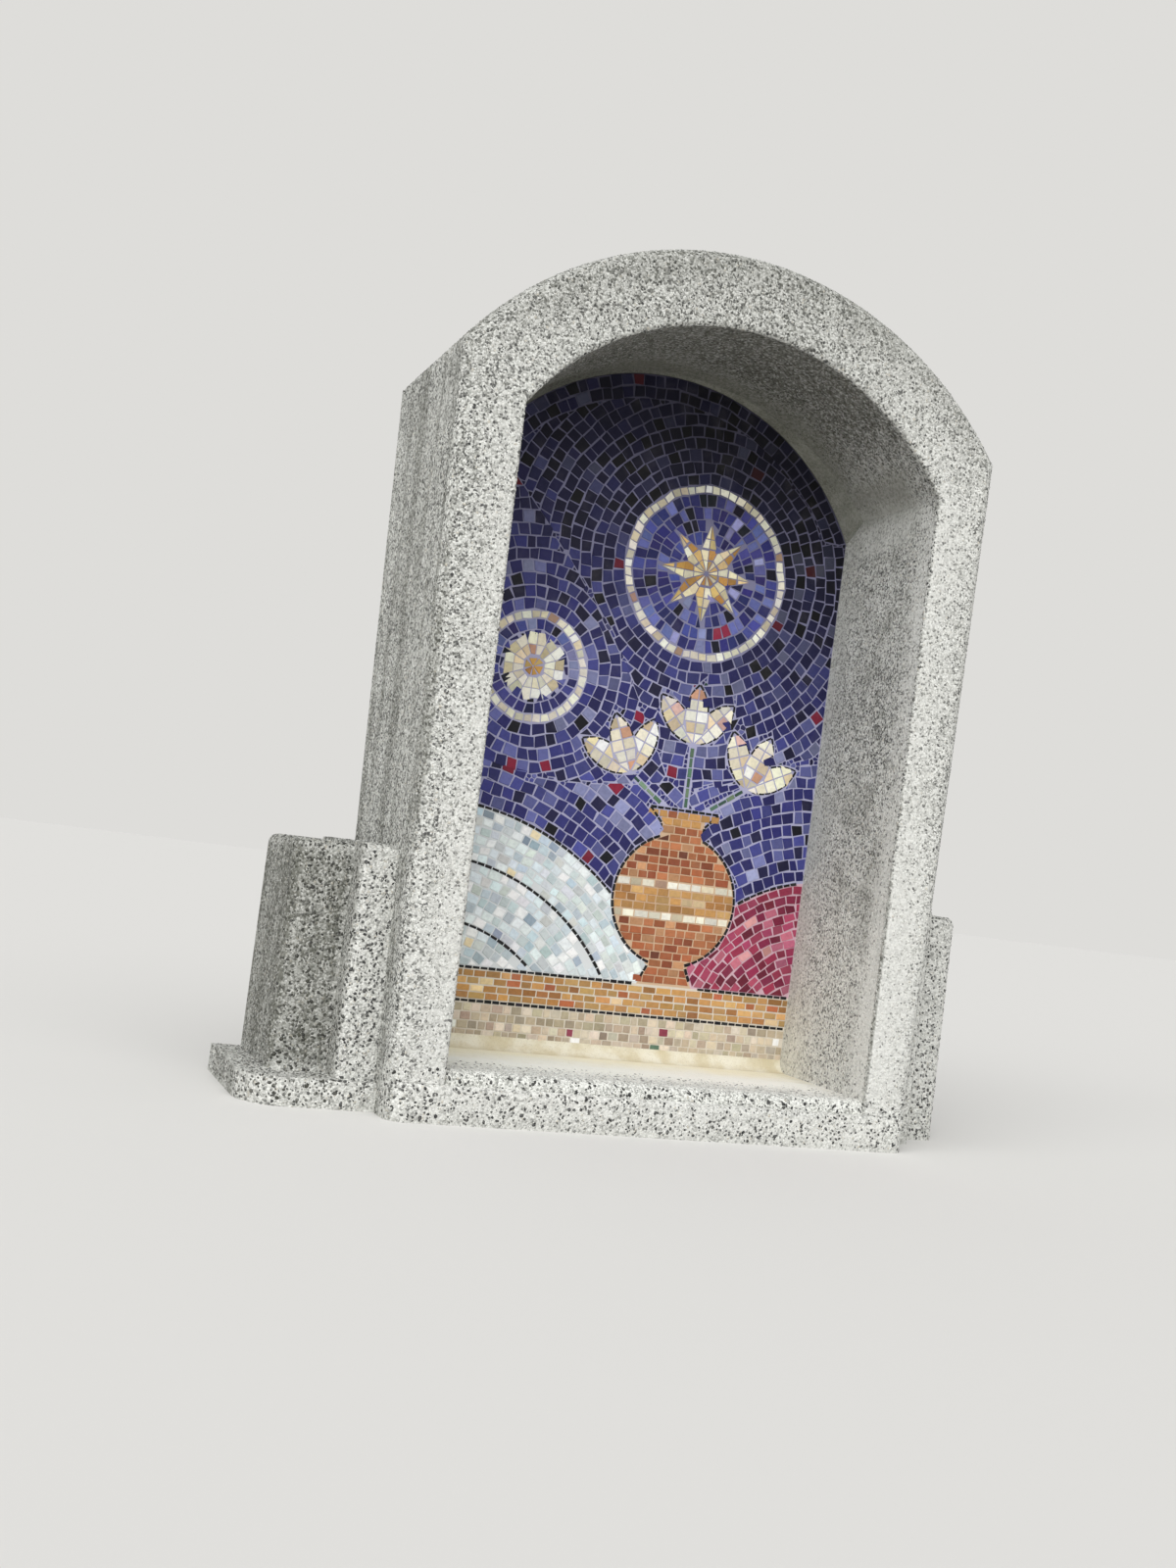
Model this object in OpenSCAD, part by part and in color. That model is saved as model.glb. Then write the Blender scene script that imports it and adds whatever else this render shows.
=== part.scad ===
// Free-standing wayside shrine: a rendered masonry niche with a low arched head,
// stepped wings at the foot and a mosaic panel set on the back wall.
// X runs to the right along the front, Y into the niche and Z up. The origin lies on
// the underside of the base, on the niche's centreline, half way through the body.

/* [Body] */
// Width of the body at the level of the sill
body_foot_w = 892; // [840:1:940]
// Width of the body where its outer arch springs
body_spring_w = 953; // [940:1:980]
// Height from the sill to the springing of the outer arch
body_spring_h = 1094; // [1060:1:1130]
// Rise of the outer arch from its springing to the crown
body_rise = 239; // [200:1:270]
// Depth of the body from the front face to the back
body_depth = 380; // [360:1:440]
// Radius of the two outer front corners, up to the springing
corner_r = 24; // [20:1:60]
// Radius of the front edge along the outer arch
arch_edge_r = 24; // [8:1:26]
// Radius of the small arris round the mouth of the niche
mouth_arris_r = 7; // [3:1:12]

/* [Niche] */
// Width of the niche at the level of the sill
niche_foot_w = 718; // [680:1:740]
// Width of the niche where its arch springs
niche_spring_w = 740; // [740:1:770]
// Height from the sill to the springing of the niche arch
niche_spring_h = 1012; // [980:1:1030]
// Rise of the niche arch
niche_rise = 198; // [160:1:215]
// Depth of the niche from the front face to the mosaic
niche_depth = 298; // [270:1:310]
// Half angle of the crown section of the arch
crown_half_angle = 20; // [14:1:26]

/* [Base] */
// Height of the base block under the jambs
base_h = 58; // [45:1:80]
// Distance that the base block stands proud of the front face
base_proud = 8; // [4:1:20]
// Radius of the base block's upper front edge
base_edge_r = 10; // [4:1:14]
// Height of the low footing on the left
return_h = 43; // [25:1:44]
// Length of the low footing beyond the outer wing
return_x = 50; // [40:1:90]
// Set-back of the low footing behind the front face
return_setback = 65; // [40:1:80]
// Radius of the footing's rounded end
return_corner_r = 70; // [30:1:80]
// Radius of the footing's upper edge
return_edge_r = 10; // [3:1:12]

/* [Sill] */
// Thickness of the cement sill between the jambs
sill_t = 22; // [14:1:30]
// Set-back of the sill behind the front face
sill_setback = 3; // [0:1:10]
// Radius of the sill's rounded nosing
sill_nose_r = 20; // [8:1:22]
// Size of the hollow mortar fillet at the foot of the mosaic
foot_fillet = 22; // [12:1:30]

/* [Wings] */
// Width of the inner wings beyond the foot of the body
inner_wing_x = 64; // [50:1:90]
// Set-back of the inner wings behind the front face
inner_wing_setback = 85; // [70:1:110]
// Height of the inner wings above the sill
inner_wing_h = 321; // [260:1:380]
// Width of the outer wings beyond the inner wings
outer_wing_x = 90; // [76:1:110]
// Set-back of the outer wings behind the front face
outer_wing_setback = 140; // [125:1:170]
// Height of the outer wings above the sill
outer_wing_h = 316; // [240:1:360]
// Radius of the outer wings' front corner
wing_corner_r = 26; // [20:1:80]
// Radius of the wings' upper edges
wing_edge_r = 14; // [6:1:18]

/* [Mosaic] */
// Height from the sill to the springing of the mosaic's own arch
mosaic_spring_h = 975; // [940:1:990]
// Gap between the crown of the niche and the crown of the mosaic
mosaic_crown_gap = 4; // [2:1:8]
// Thickness of the tesserae
tessera_t = 4; // [3:0.5:6]
// Thickness of the mortar bed behind the tesserae
bed_t = 8; // [5:1:12]
// Width of the open joint between two areas of the design
joint_w = 2; // [1:0.5:3]
// Width of the smooth cement band at the back of the soffit
soffit_band_w = 70; // [50:1:110]
// Amount by which the soffit band feathers out towards the front
soffit_band_feather = 24; // [18:1:32]
// Height of the soffit band's feet above the springing of the mosaic
soffit_foot_h = 5; // [3:1:12]

/* [Mosaic design] */
// Distance of the large ring to the right of the centreline
ring_x = 95; // [60:1:120]
// Height of the large ring's centre above the sill
ring_h = 872; // [800:1:880]
// Outer radius of the large ring
ring_r = 158; // [120:1:170]
// Width of the rings
ring_w = 15; // [10:1:24]
// Outer radius of the star
star_r = 92; // [70:1:100]
// Number of points on the star
star_points = 8; // [6:1:10]
// Distance of the small ring to the left of the centreline
small_ring_x = 205; // [190:1:220]
// Height of the small ring's centre above the sill
small_ring_h = 655; // [600:1:690]
// Outer radius of the small ring
small_ring_r = 98; // [70:1:104]
// Radius of each petal of the rosette
petal_r = 17; // [10:1:18]
// Number of petals on the rosette
petals = 8; // [6:1:9]
// Distance of the urn to the right of the centreline
urn_x = 110; // [90:1:130]
// Radius of the urn's belly
urn_r = 118; // [70:1:124]
// Height of the urn's foot below its belly
urn_foot_h = 34; // [20:1:40]
// Width of the urn's neck
urn_neck_w = 84; // [50:1:90]
// Height of the urn's neck
urn_neck_h = 46; // [30:1:50]
// Height of the urn's lip
urn_lip_h = 26; // [16:1:30]
// Length of the lilies' petals
lily_petal_len = 108; // [80:1:112]
// Width of the lilies' petals
lily_petal_w = 44; // [30:1:48]
// Distance of the side lilies from the urn's centreline
lily_side_x = 114; // [90:1:122]
// Height of the side lilies above the urn's lip
lily_side_h = 66; // [50:1:74]
// Height of the middle lily above the urn's lip
lily_mid_h = 132; // [110:1:138]
// Width of the lilies' stems
stem_w = 8; // [5:1:12]
// Radius of the pale hill
pale_hill_r = 470; // [380:1:490]
// Distance of the pale hill's centre to the left of the centreline
pale_hill_x = 330; // [300:1:350]
// Depth of the pale hill's centre below the sill
pale_hill_drop = 60; // [40:1:90]
// Radius of the red hill
red_hill_r = 330; // [260:1:350]
// Distance of the red hill's centre to the right of the centreline
red_hill_x = 420; // [390:1:440]
// Height of the red hill's centre above the sill
red_hill_h = 20; // [0:1:40]
// Height of the plain step along the foot of the mosaic
step_h = 78; // [50:1:90]
// Height of the upper step that carries the urn
upper_step_h = 56; // [30:1:60]

/* [Hidden] */
$fn = 96;
e = 1;
front_y = -body_depth / 2;
back_y = body_depth / 2;
sill_z = base_h + sill_t;
// Outer outline
body_spring_z = sill_z + body_spring_h;
body_crown_z = body_spring_z + body_rise;
body_half = body_spring_w / 2;
body_arc_r = (body_half * body_half + body_rise * body_rise) / (2 * body_rise);
body_arc_z = body_crown_z - body_arc_r;
body_lean = atan((body_spring_w - body_foot_w) / 2 / (body_spring_z - base_h));
// Mouth of the niche
niche_spring_z = sill_z + niche_spring_h;
niche_crown_z = niche_spring_z + niche_rise;
niche_half = niche_spring_w / 2;
niche_arc_r = (niche_half * niche_half + niche_rise * niche_rise) / (2 * niche_rise);
niche_arc_z = niche_crown_z - niche_arc_r;
niche_lean = atan((niche_spring_w - niche_foot_w) / 2 / (niche_spring_z - base_h));
// Joint between jamb and arch, from one springing to the other
joint_slope = (body_spring_z - niche_spring_z) / (body_half - niche_half);
joint_reach = 60;
head_top = body_crown_z + 40;
// Layers of the back of the niche, from the face of the mosaic backwards
mosaic_y = front_y + niche_depth;
bed_y = mosaic_y + tessera_t;
wall_y = bed_y + bed_t;
// Outline of the mosaic, whose arch is rounder than the mouth's
mosaic_spring_z = sill_z + mosaic_spring_h;
mosaic_half = niche_foot_w / 2 + (mosaic_spring_z - base_h) * tan(niche_lean);
mosaic_rise = niche_crown_z - mosaic_crown_gap - mosaic_spring_z;
mosaic_arc_r = (mosaic_half * mosaic_half + mosaic_rise * mosaic_rise) / (2 * mosaic_rise);
mosaic_arc_z = mosaic_spring_z + mosaic_rise - mosaic_arc_r;
// Front corners of the base block, in line with the jambs' own
base_corner_r = corner_r + base_proud;
base_corner_x = body_foot_w / 2 - base_corner_r;
// Wings
inner_wing_end = body_foot_w / 2 + inner_wing_x;
outer_wing_end = inner_wing_end + outer_wing_x;
return_end = outer_wing_end + return_x;
inner_wing_y = front_y + inner_wing_setback;
inner_wing_z = sill_z + inner_wing_h;
outer_wing_y = front_y + outer_wing_setback;
outer_wing_z = sill_z + outer_wing_h;
// Levels of the design
upper_step_z = sill_z + step_h + upper_step_h;
urn_belly_z = upper_step_z + urn_foot_h + urn_r;
urn_neck_z = urn_belly_z + urn_r * 0.86;
urn_lip_z = urn_neck_z + urn_neck_h;

// Half width of the body at height z
function body_x(z) = body_foot_w / 2 + (z - base_h) * tan(body_lean);

// A flat outline drawn in X and Z, made solid from y0 back to y1
module standing(y0, y1) {
    translate([0, y1, 0])
        rotate([90, 0, 0])
            linear_extrude(y1 - y0)
                children();
}

// Waste along a straight edge that leaves a quarter round of radius r on it:
// the edge is the Z axis and the solid lies towards -X and +Y
module edge_waste(r, len) {
    difference() {
        translate([-r, -e, 0])
            cube([r + e, r + e, len]);
        translate([-r, r, -e])
            cylinder(h = len + 2 * e, r = r);
    }
}

// Half width of the niche at height z
function niche_x(z) = niche_foot_w / 2 + (z - base_h) * tan(niche_lean);

// Leaning sides from height z0, closed above by an arc of radius r about height arc_z
module arched_outline(z0, arc_z, r) {
    top = niche_crown_z + 40;
    wide = niche_spring_w + 10;
    intersection() {
        polygon([
            [-niche_x(z0), z0],
            [niche_x(z0), z0],
            [niche_x(top), top],
            [-niche_x(top), top]
        ]);
        union() {
            translate([0, arc_z])
                circle(r = r);
            translate([-wide / 2, z0 - e])
                square([wide, arc_z - z0 + e]);
        }
    }
}

// Outline of the niche from height z0 to its crown
module niche_outline(z0) {
    arched_outline(z0, niche_arc_z, niche_arc_r);
}

// Outline of the mosaic
module mosaic_outline() {
    arched_outline(sill_z, mosaic_arc_z, mosaic_arc_r);
}

// Section of the arched head inside the outline that is drawn as its child
module head_outline() {
    difference() {
        intersection() {
            translate([0, body_arc_z])
                circle(r = body_arc_r);
            children();
        }
        translate([0, niche_arc_z])
            circle(r = niche_arc_r);
    }
}

// Section right of the crown, down to the joint on the jamb
module haunch_outline() {
    head_outline()
        polygon([
            [niche_half - joint_reach, niche_spring_z - joint_reach * joint_slope],
            [body_half + joint_reach, body_spring_z + joint_reach * joint_slope],
            [body_half + joint_reach, head_top],
            [(head_top - niche_arc_z) * tan(crown_half_angle), head_top],
            [0, niche_arc_z]
        ]);
}

// Section at the crown, between two joints that point at the centre of the niche arch
module crown_outline() {
    head_outline()
        polygon([
            [0, niche_arc_z],
            [(head_top - niche_arc_z) * tan(crown_half_angle), head_top],
            [-(head_top - niche_arc_z) * tan(crown_half_angle), head_top]
        ]);
}

// Waste that rounds the arch's two front edges
module arch_edge_waste() {
    translate([0, front_y, body_arc_z])
        rotate([-90, 0, 0])
            rotate_extrude()
                difference() {
                    translate([body_arc_r - arch_edge_r, -e])
                        square([arch_edge_r + 2 * e, arch_edge_r + e]);
                    translate([body_arc_r - arch_edge_r, arch_edge_r])
                        circle(r = arch_edge_r);
                }
    translate([0, front_y, niche_arc_z])
        rotate([-90, 0, 0])
            rotate_extrude()
                difference() {
                    translate([niche_arc_r - e, -e])
                        square([mouth_arris_r + e, mouth_arris_r + e]);
                    translate([niche_arc_r + mouth_arris_r, mouth_arris_r])
                        circle(r = mouth_arris_r);
                }
}

module haunch() {
    difference() {
        standing(front_y, back_y)
            haunch_outline();
        arch_edge_waste();
    }
}

// Plan of a wall whose front corner at x = 0 is rounded; it runs to x = -w
module cornered_plan(w, r) {
    translate([-w, r])
        square([w, body_depth - r]);
    translate([-w, 0])
        square([w - r, r + e]);
    translate([-r, r])
        circle(r = r);
}

// Jamb on the right: the outer and the inner face lean out by different amounts,
// and the top is cut along the joint from one springing to the other
module jamb() {
    w = (body_spring_w - niche_foot_w) / 2 + 40;
    run = body_spring_z - base_h + 80;
    intersection() {
        translate([body_foot_w / 2, front_y, base_h])
            rotate([0, body_lean, 0])
                translate([0, 0, -40])
                    linear_extrude(run)
                        cornered_plan(w, corner_r);
        translate([niche_foot_w / 2, front_y, base_h])
            rotate([0, niche_lean, 0])
                translate([0, 0, -40])
                    linear_extrude(run)
                        mirror([1, 0, 0])
                            cornered_plan(w, mouth_arris_r);
        standing(front_y - e, back_y + e)
            polygon([
                [niche_half - joint_reach, base_h],
                [body_half + joint_reach, base_h],
                [body_half + joint_reach, body_spring_z + joint_reach * joint_slope],
                [niche_half - joint_reach, niche_spring_z - joint_reach * joint_slope]
            ]);
    }
}

// Inner wing on the right, standing at height z0 beside the base block
module inner_wing(z0) {
    difference() {
        standing(inner_wing_y, back_y)
            polygon([
                [body_foot_w / 2, z0],
                [inner_wing_end, z0],
                [inner_wing_end, inner_wing_z],
                [body_x(inner_wing_z), inner_wing_z],
                [body_foot_w / 2, base_h]
            ]);
        // upper front edge
        translate([body_foot_w / 2 - e, inner_wing_y, inner_wing_z])
            rotate([0, 90, 0])
                rotate([0, 0, 180])
                    mirror([0, 1, 0])
                        edge_waste(wing_edge_r, inner_wing_x + 2 * e);
        // outer front edge
        translate([inner_wing_end, inner_wing_y, z0 - e])
            edge_waste(wing_edge_r, inner_wing_z - z0 + 2 * e);
    }
}

// Outer wing on the right, with a quarter round at its front corner
module outer_wing(z0) {
    cx = outer_wing_end - wing_corner_r;
    cy = outer_wing_y + wing_corner_r;
    difference() {
        translate([0, 0, z0])
            linear_extrude(outer_wing_z - z0) {
                translate([inner_wing_end, cy])
                    square([outer_wing_x, back_y - cy]);
                translate([inner_wing_end, outer_wing_y])
                    square([cx - inner_wing_end, wing_corner_r + e]);
                intersection() {
                    translate([cx, cy])
                        circle(r = wing_corner_r);
                    translate([inner_wing_end, outer_wing_y - e])
                        square([outer_wing_x + e, wing_corner_r * 2]);
                }
            }
        // upper edge along the front
        translate([inner_wing_end - e, outer_wing_y, outer_wing_z])
            rotate([0, 90, 0])
                rotate([0, 0, 180])
                    mirror([0, 1, 0])
                        edge_waste(wing_edge_r, cx - inner_wing_end + e);
        // upper edge along the side
        translate([outer_wing_end, cy, outer_wing_z])
            rotate([-90, 0, 0])
                edge_waste(wing_edge_r, back_y - cy + e);
        // upper edge round the corner
        intersection() {
            translate([cx, cy, outer_wing_z - wing_edge_r])
                rotate_extrude()
                    difference() {
                        translate([wing_corner_r - wing_edge_r, 0])
                            square([wing_edge_r + e, wing_edge_r + e]);
                        translate([wing_corner_r - wing_edge_r, 0])
                            circle(r = wing_edge_r);
                    }
            translate([cx, outer_wing_y - e, outer_wing_z - wing_edge_r - e])
                cube([wing_corner_r + e, wing_corner_r + e, wing_edge_r + 3 * e]);
        }
    }
}

module base_slab() {
    color("#b4b1a7")
        difference() {
            linear_extrude(base_h) {
                translate([-body_foot_w / 2, front_y + corner_r])
                    square([body_foot_w, body_depth - corner_r]);
                translate([-base_corner_x, front_y - base_proud])
                    square([base_corner_x * 2, base_corner_r + e]);
                for (side = [-1, 1])
                    translate([side * base_corner_x, front_y + corner_r])
                        circle(r = base_corner_r);
            }
            translate([-body_foot_w / 2 - e, front_y - base_proud, base_h])
                rotate([0, 90, 0])
                    rotate([0, 0, 180])
                        mirror([0, 1, 0])
                            edge_waste(base_edge_r, body_foot_w + 2 * e);
        }
}

module base_left_return() {
    y0 = front_y + return_setback;
    cx = return_end - return_corner_r;
    cy = y0 + return_corner_r;
    color("#a9a598")
        mirror([1, 0, 0])
            difference() {
                linear_extrude(return_h) {
                    translate([body_foot_w / 2, y0])
                        square([cx - body_foot_w / 2, back_y - y0]);
                    translate([cx - e, cy])
                        square([return_corner_r + e, back_y - cy]);
                    translate([cx, cy])
                        circle(r = return_corner_r);
                }
                translate([body_foot_w / 2 - e, y0, return_h])
                    rotate([0, 90, 0])
                        rotate([0, 0, 180])
                            mirror([0, 1, 0])
                                edge_waste(return_edge_r, cx - body_foot_w / 2 + e);
            }
}

module sill() {
    y0 = front_y + sill_setback;
    color("#cbc7b8")
        difference() {
            translate([-niche_foot_w / 2, y0, base_h])
                cube([niche_foot_w, wall_y - y0, sill_t]);
            translate([-niche_foot_w / 2 - e, y0, sill_z])
                rotate([0, 90, 0])
                    rotate([0, 0, 180])
                        mirror([0, 1, 0])
                            edge_waste(sill_nose_r, niche_foot_w + 2 * e);
        }
}

module sill_mortar_fillet() {
    color("#d8cda9")
        difference() {
            translate([-niche_foot_w / 2, mosaic_y - foot_fillet, sill_z])
                cube([niche_foot_w, foot_fillet, foot_fillet]);
            translate([-niche_foot_w / 2 - e, mosaic_y - foot_fillet, sill_z + foot_fillet])
                rotate([0, 90, 0])
                    cylinder(h = niche_foot_w + 2 * e, r = foot_fillet);
        }
}

module left_jamb() {
    color("#b4b1a7")
        mirror([1, 0, 0])
            jamb();
}

module right_jamb() {
    color("#b4b1a7")
        jamb();
}

module arch_left_haunch() {
    color("#b4b1a7")
        mirror([1, 0, 0])
            haunch();
}

module arch_crown() {
    color("#b4b1a7")
        difference() {
            standing(front_y, back_y)
                crown_outline();
            arch_edge_waste();
        }
}

module arch_right_haunch() {
    color("#b4b1a7")
        haunch();
}

module back_wall() {
    color("#a3a095")
        standing(wall_y, back_y)
            niche_outline(base_h);
}

// Smooth cement that fills the corner between the soffit and the mosaic
module soffit_band() {
    y0 = mosaic_y - soffit_band_w;
    color("#8f8c7d")
        difference() {
            standing(y0, mosaic_y)
                intersection() {
                    niche_outline(base_h);
                    translate([-niche_half - e, mosaic_spring_z + soffit_foot_h])
                        square([niche_spring_w + 2 * e, niche_crown_z - mosaic_spring_z]);
                }
            translate([0, y0 - e, mosaic_arc_z])
                rotate([-90, 0, 0])
                    cylinder(h = soffit_band_w + 2 * e, r1 = mosaic_arc_r + soffit_band_feather,
                        r2 = mosaic_arc_r);
        }
}

module left_inner_wing() {
    color("#aeaba0")
        mirror([1, 0, 0])
            inner_wing(return_h);
}

module left_outer_wing() {
    color("#aeaba0")
        mirror([1, 0, 0])
            outer_wing(return_h);
}

module right_inner_wing() {
    color("#aeaba0")
        inner_wing(0);
}

module right_outer_wing() {
    color("#aeaba0")
        outer_wing(0);
}

module mosaic_bed() {
    color("#cfcabd")
        standing(bed_y, wall_y)
            niche_outline(sill_z);
}

// Each area takes a growth g, which the areas behind it leave free for its joint
module ring_disc(g) {
    translate([ring_x, sill_z + ring_h])
        circle(r = ring_r + g);
}

module star_area(g) {
    n = star_points;
    r1 = star_r + 2 * g;
    r2 = star_r * 0.46 + g;
    translate([ring_x, sill_z + ring_h])
        polygon([for (i = [0 : 2 * n - 1])
            (i % 2 == 0 ? r1 : r2) * [sin(i * 180 / n), cos(i * 180 / n)]]);
}

module small_ring_disc(g) {
    translate([-small_ring_x, sill_z + small_ring_h])
        circle(r = small_ring_r + g);
}

module rosette_area(g) {
    n = petals;
    translate([-small_ring_x, sill_z + small_ring_h]) {
        circle(r = petal_r * 1.5 + g);
        for (i = [0 : n - 1])
            rotate(i * 360 / n)
                translate([petal_r * 2.2, 0])
                    circle(r = petal_r + g);
    }
}

module lower_step_area(g) {
    translate([-niche_half, sill_z - e])
        square([niche_spring_w, step_h + e + g]);
}

module upper_step_area(g) {
    translate([-niche_half, sill_z - e])
        square([niche_spring_w, step_h + upper_step_h + e + g]);
}

module pale_hill_area(g) {
    translate([-pale_hill_x, sill_z - pale_hill_drop])
        circle(r = pale_hill_r + g);
}

module red_hill_area(g) {
    translate([red_hill_x, sill_z + red_hill_h])
        circle(r = red_hill_r + g);
}

module urn_area(g) {
    foot_w = urn_r * 0.9;
    lip_w = urn_neck_w * 1.6;
    translate([urn_x, urn_belly_z])
        circle(r = urn_r + g);
    translate([urn_x, 0])
        polygon([
            [-foot_w / 2 - g, upper_step_z],
            [foot_w / 2 + g, upper_step_z],
            [foot_w / 4 + g, urn_belly_z - urn_r * 0.8],
            [-foot_w / 4 - g, urn_belly_z - urn_r * 0.8]
        ]);
    translate([urn_x - urn_neck_w / 2 - g, urn_belly_z])
        square([urn_neck_w + 2 * g, urn_lip_z - urn_belly_z]);
    translate([urn_x, 0])
        polygon([
            [-urn_neck_w / 2 - g, urn_lip_z - urn_lip_h / 2 - g],
            [urn_neck_w / 2 + g, urn_lip_z - urn_lip_h / 2 - g],
            [lip_w / 2 + g, urn_lip_z + urn_lip_h / 2 + g],
            [-lip_w / 2 - g, urn_lip_z + urn_lip_h / 2 + g]
        ]);
}

// One pointed petal, the overlap of two circles, that rises from the origin
module petal(len, wide, g) {
    r = (len * len / 4 + wide * wide / 4) / wide;
    intersection() {
        translate([r - wide / 2, len / 2])
            circle(r = r + g);
        translate([wide / 2 - r, len / 2])
            circle(r = r + g);
    }
}

module lily(g) {
    for (a = [-42, 0, 42])
        rotate(a)
            petal(lily_petal_len, lily_petal_w, g);
}

// Three lilies on straight stems that rise from the mouth of the urn
module lilies_area(g) {
    for (s = [[-lily_side_x, lily_side_h, 22], [0, lily_mid_h, 0], [lily_side_x, lily_side_h, -22]]) {
        translate([urn_x + s[0], urn_lip_z + s[1]])
            rotate(s[2])
                lily(g);
        translate([urn_x + s[0] * 0.16, urn_lip_z])
            rotate(-atan(s[0] * 0.84 / s[1]))
                translate([-stem_w / 2 - g, 0])
                    square([stem_w + 2 * g, norm([s[0] * 0.84, s[1]]) + 1.5 * stem_w]);
    }
}

module tesserae(c) {
    color(c)
        standing(mosaic_y, bed_y)
            intersection() {
                mosaic_outline();
                children();
            }
}

module mosaic_sky() {
    tesserae("#3c3f8f")
        difference() {
            translate([-niche_half, sill_z])
                square([niche_spring_w, niche_crown_z]);
            difference() {
                ring_disc(joint_w);
                circle_inside(ring_x, ring_h, ring_r - ring_w - joint_w);
            }
            star_area(joint_w);
            difference() {
                small_ring_disc(joint_w);
                circle_inside(-small_ring_x, small_ring_h, small_ring_r - ring_w - joint_w);
            }
            rosette_area(joint_w);
            upper_step_area(joint_w);
            pale_hill_area(joint_w);
            red_hill_area(joint_w);
            urn_area(joint_w);
            lilies_area(joint_w);
        }
}

module circle_inside(x, h, r) {
    translate([x, sill_z + h])
        circle(r = r);
}

module mosaic_large_ring() {
    tesserae("#e9e4d2")
        difference() {
            ring_disc(0);
            circle_inside(ring_x, ring_h, ring_r - ring_w);
        }
}

module mosaic_star() {
    tesserae("#dfc68c")
        star_area(0);
}

module mosaic_small_ring() {
    tesserae("#e9e4d2")
        difference() {
            small_ring_disc(0);
            circle_inside(-small_ring_x, small_ring_h, small_ring_r - ring_w);
        }
}

module mosaic_rosette() {
    tesserae("#e4e7ea")
        rosette_area(0);
}

module mosaic_pale_hill() {
    tesserae("#dfeaec")
        difference() {
            pale_hill_area(0);
            upper_step_area(joint_w);
            urn_area(joint_w);
        }
}

module mosaic_red_hill() {
    tesserae("#8f3249")
        difference() {
            red_hill_area(0);
            upper_step_area(joint_w);
            urn_area(joint_w);
        }
}

module mosaic_urn() {
    tesserae("#b0653c")
        urn_area(0);
}

module mosaic_lilies() {
    tesserae("#eceae0")
        difference() {
            lilies_area(0);
            urn_area(joint_w);
        }
}

module mosaic_upper_step() {
    tesserae("#b98a45")
        difference() {
            upper_step_area(0);
            lower_step_area(joint_w);
            urn_area(joint_w);
        }
}

module mosaic_lower_step() {
    tesserae("#b9a48f")
        lower_step_area(0);
}

base_slab();
base_left_return();
sill();
sill_mortar_fillet();
left_jamb();
right_jamb();
arch_left_haunch();
arch_crown();
arch_right_haunch();
back_wall();
soffit_band();
left_inner_wing();
left_outer_wing();
right_inner_wing();
right_outer_wing();
mosaic_bed();
mosaic_sky();
mosaic_large_ring();
mosaic_star();
mosaic_small_ring();
mosaic_rosette();
mosaic_pale_hill();
mosaic_red_hill();
mosaic_urn();
mosaic_lilies();
mosaic_upper_step();
mosaic_lower_step();
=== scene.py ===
"""Wayside shrine: washed-pebble masonry round a niche, with a mosaic on its back wall."""
import random
from math import asin, atan2, cos, dist, floor, hypot, pi, radians, sin, sqrt

import bmesh
import bpy
import numpy as np
from mathutils import Matrix, Vector
from mathutils.bvhtree import BVHTree


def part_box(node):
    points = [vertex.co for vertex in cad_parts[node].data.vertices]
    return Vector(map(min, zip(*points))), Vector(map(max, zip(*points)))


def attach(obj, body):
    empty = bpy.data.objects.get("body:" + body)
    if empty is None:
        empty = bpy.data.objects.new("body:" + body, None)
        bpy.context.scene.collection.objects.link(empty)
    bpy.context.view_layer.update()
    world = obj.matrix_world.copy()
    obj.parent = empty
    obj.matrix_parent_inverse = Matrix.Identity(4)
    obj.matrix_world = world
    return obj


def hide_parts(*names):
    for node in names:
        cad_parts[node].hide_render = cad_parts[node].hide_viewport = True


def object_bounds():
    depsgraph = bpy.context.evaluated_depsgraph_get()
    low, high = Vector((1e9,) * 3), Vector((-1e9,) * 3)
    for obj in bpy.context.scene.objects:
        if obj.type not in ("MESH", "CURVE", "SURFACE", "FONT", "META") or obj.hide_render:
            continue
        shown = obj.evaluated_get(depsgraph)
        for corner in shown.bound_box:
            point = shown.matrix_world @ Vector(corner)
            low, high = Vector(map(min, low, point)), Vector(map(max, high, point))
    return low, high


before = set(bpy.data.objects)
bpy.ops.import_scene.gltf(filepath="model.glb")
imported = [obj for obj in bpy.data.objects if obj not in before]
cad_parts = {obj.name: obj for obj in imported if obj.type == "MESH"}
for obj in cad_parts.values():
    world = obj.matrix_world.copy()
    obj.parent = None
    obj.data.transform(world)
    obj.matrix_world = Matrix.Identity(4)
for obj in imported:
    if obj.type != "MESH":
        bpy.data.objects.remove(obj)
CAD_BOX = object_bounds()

SEED = 41
MM = 0.001
HAIR = 1e-6
FULL_TURN = 2 * pi


# Node trees

class Wire:
    """A socket of a node tree. Arithmetic on it adds Math nodes."""

    def __init__(self, graph, socket):
        self.graph = graph
        self.socket = socket

    def math(self, operation, *values):
        return self.graph.add("ShaderNodeMath", {"operation": operation}, dict(enumerate(values)))

    def output(self, key):
        """Another output of the same node."""
        return Wire(self.graph, self.socket.node.outputs[key])

    def sway(self, reach):
        """A noise as a push to both sides, reach from end to end."""
        return reach * (self - 0.5)

    __add__ = lambda a, b: a.math("ADD", a, b)
    __radd__ = lambda a, b: a.math("ADD", b, a)
    __sub__ = lambda a, b: a.math("SUBTRACT", a, b)
    __rsub__ = lambda a, b: a.math("SUBTRACT", b, a)
    __mul__ = lambda a, b: a.math("MULTIPLY", a, b)
    __rmul__ = lambda a, b: a.math("MULTIPLY", b, a)
    __pow__ = lambda a, b: a.math("POWER", a, b)
    __abs__ = lambda a: a.math("ABSOLUTE", a)


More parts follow.
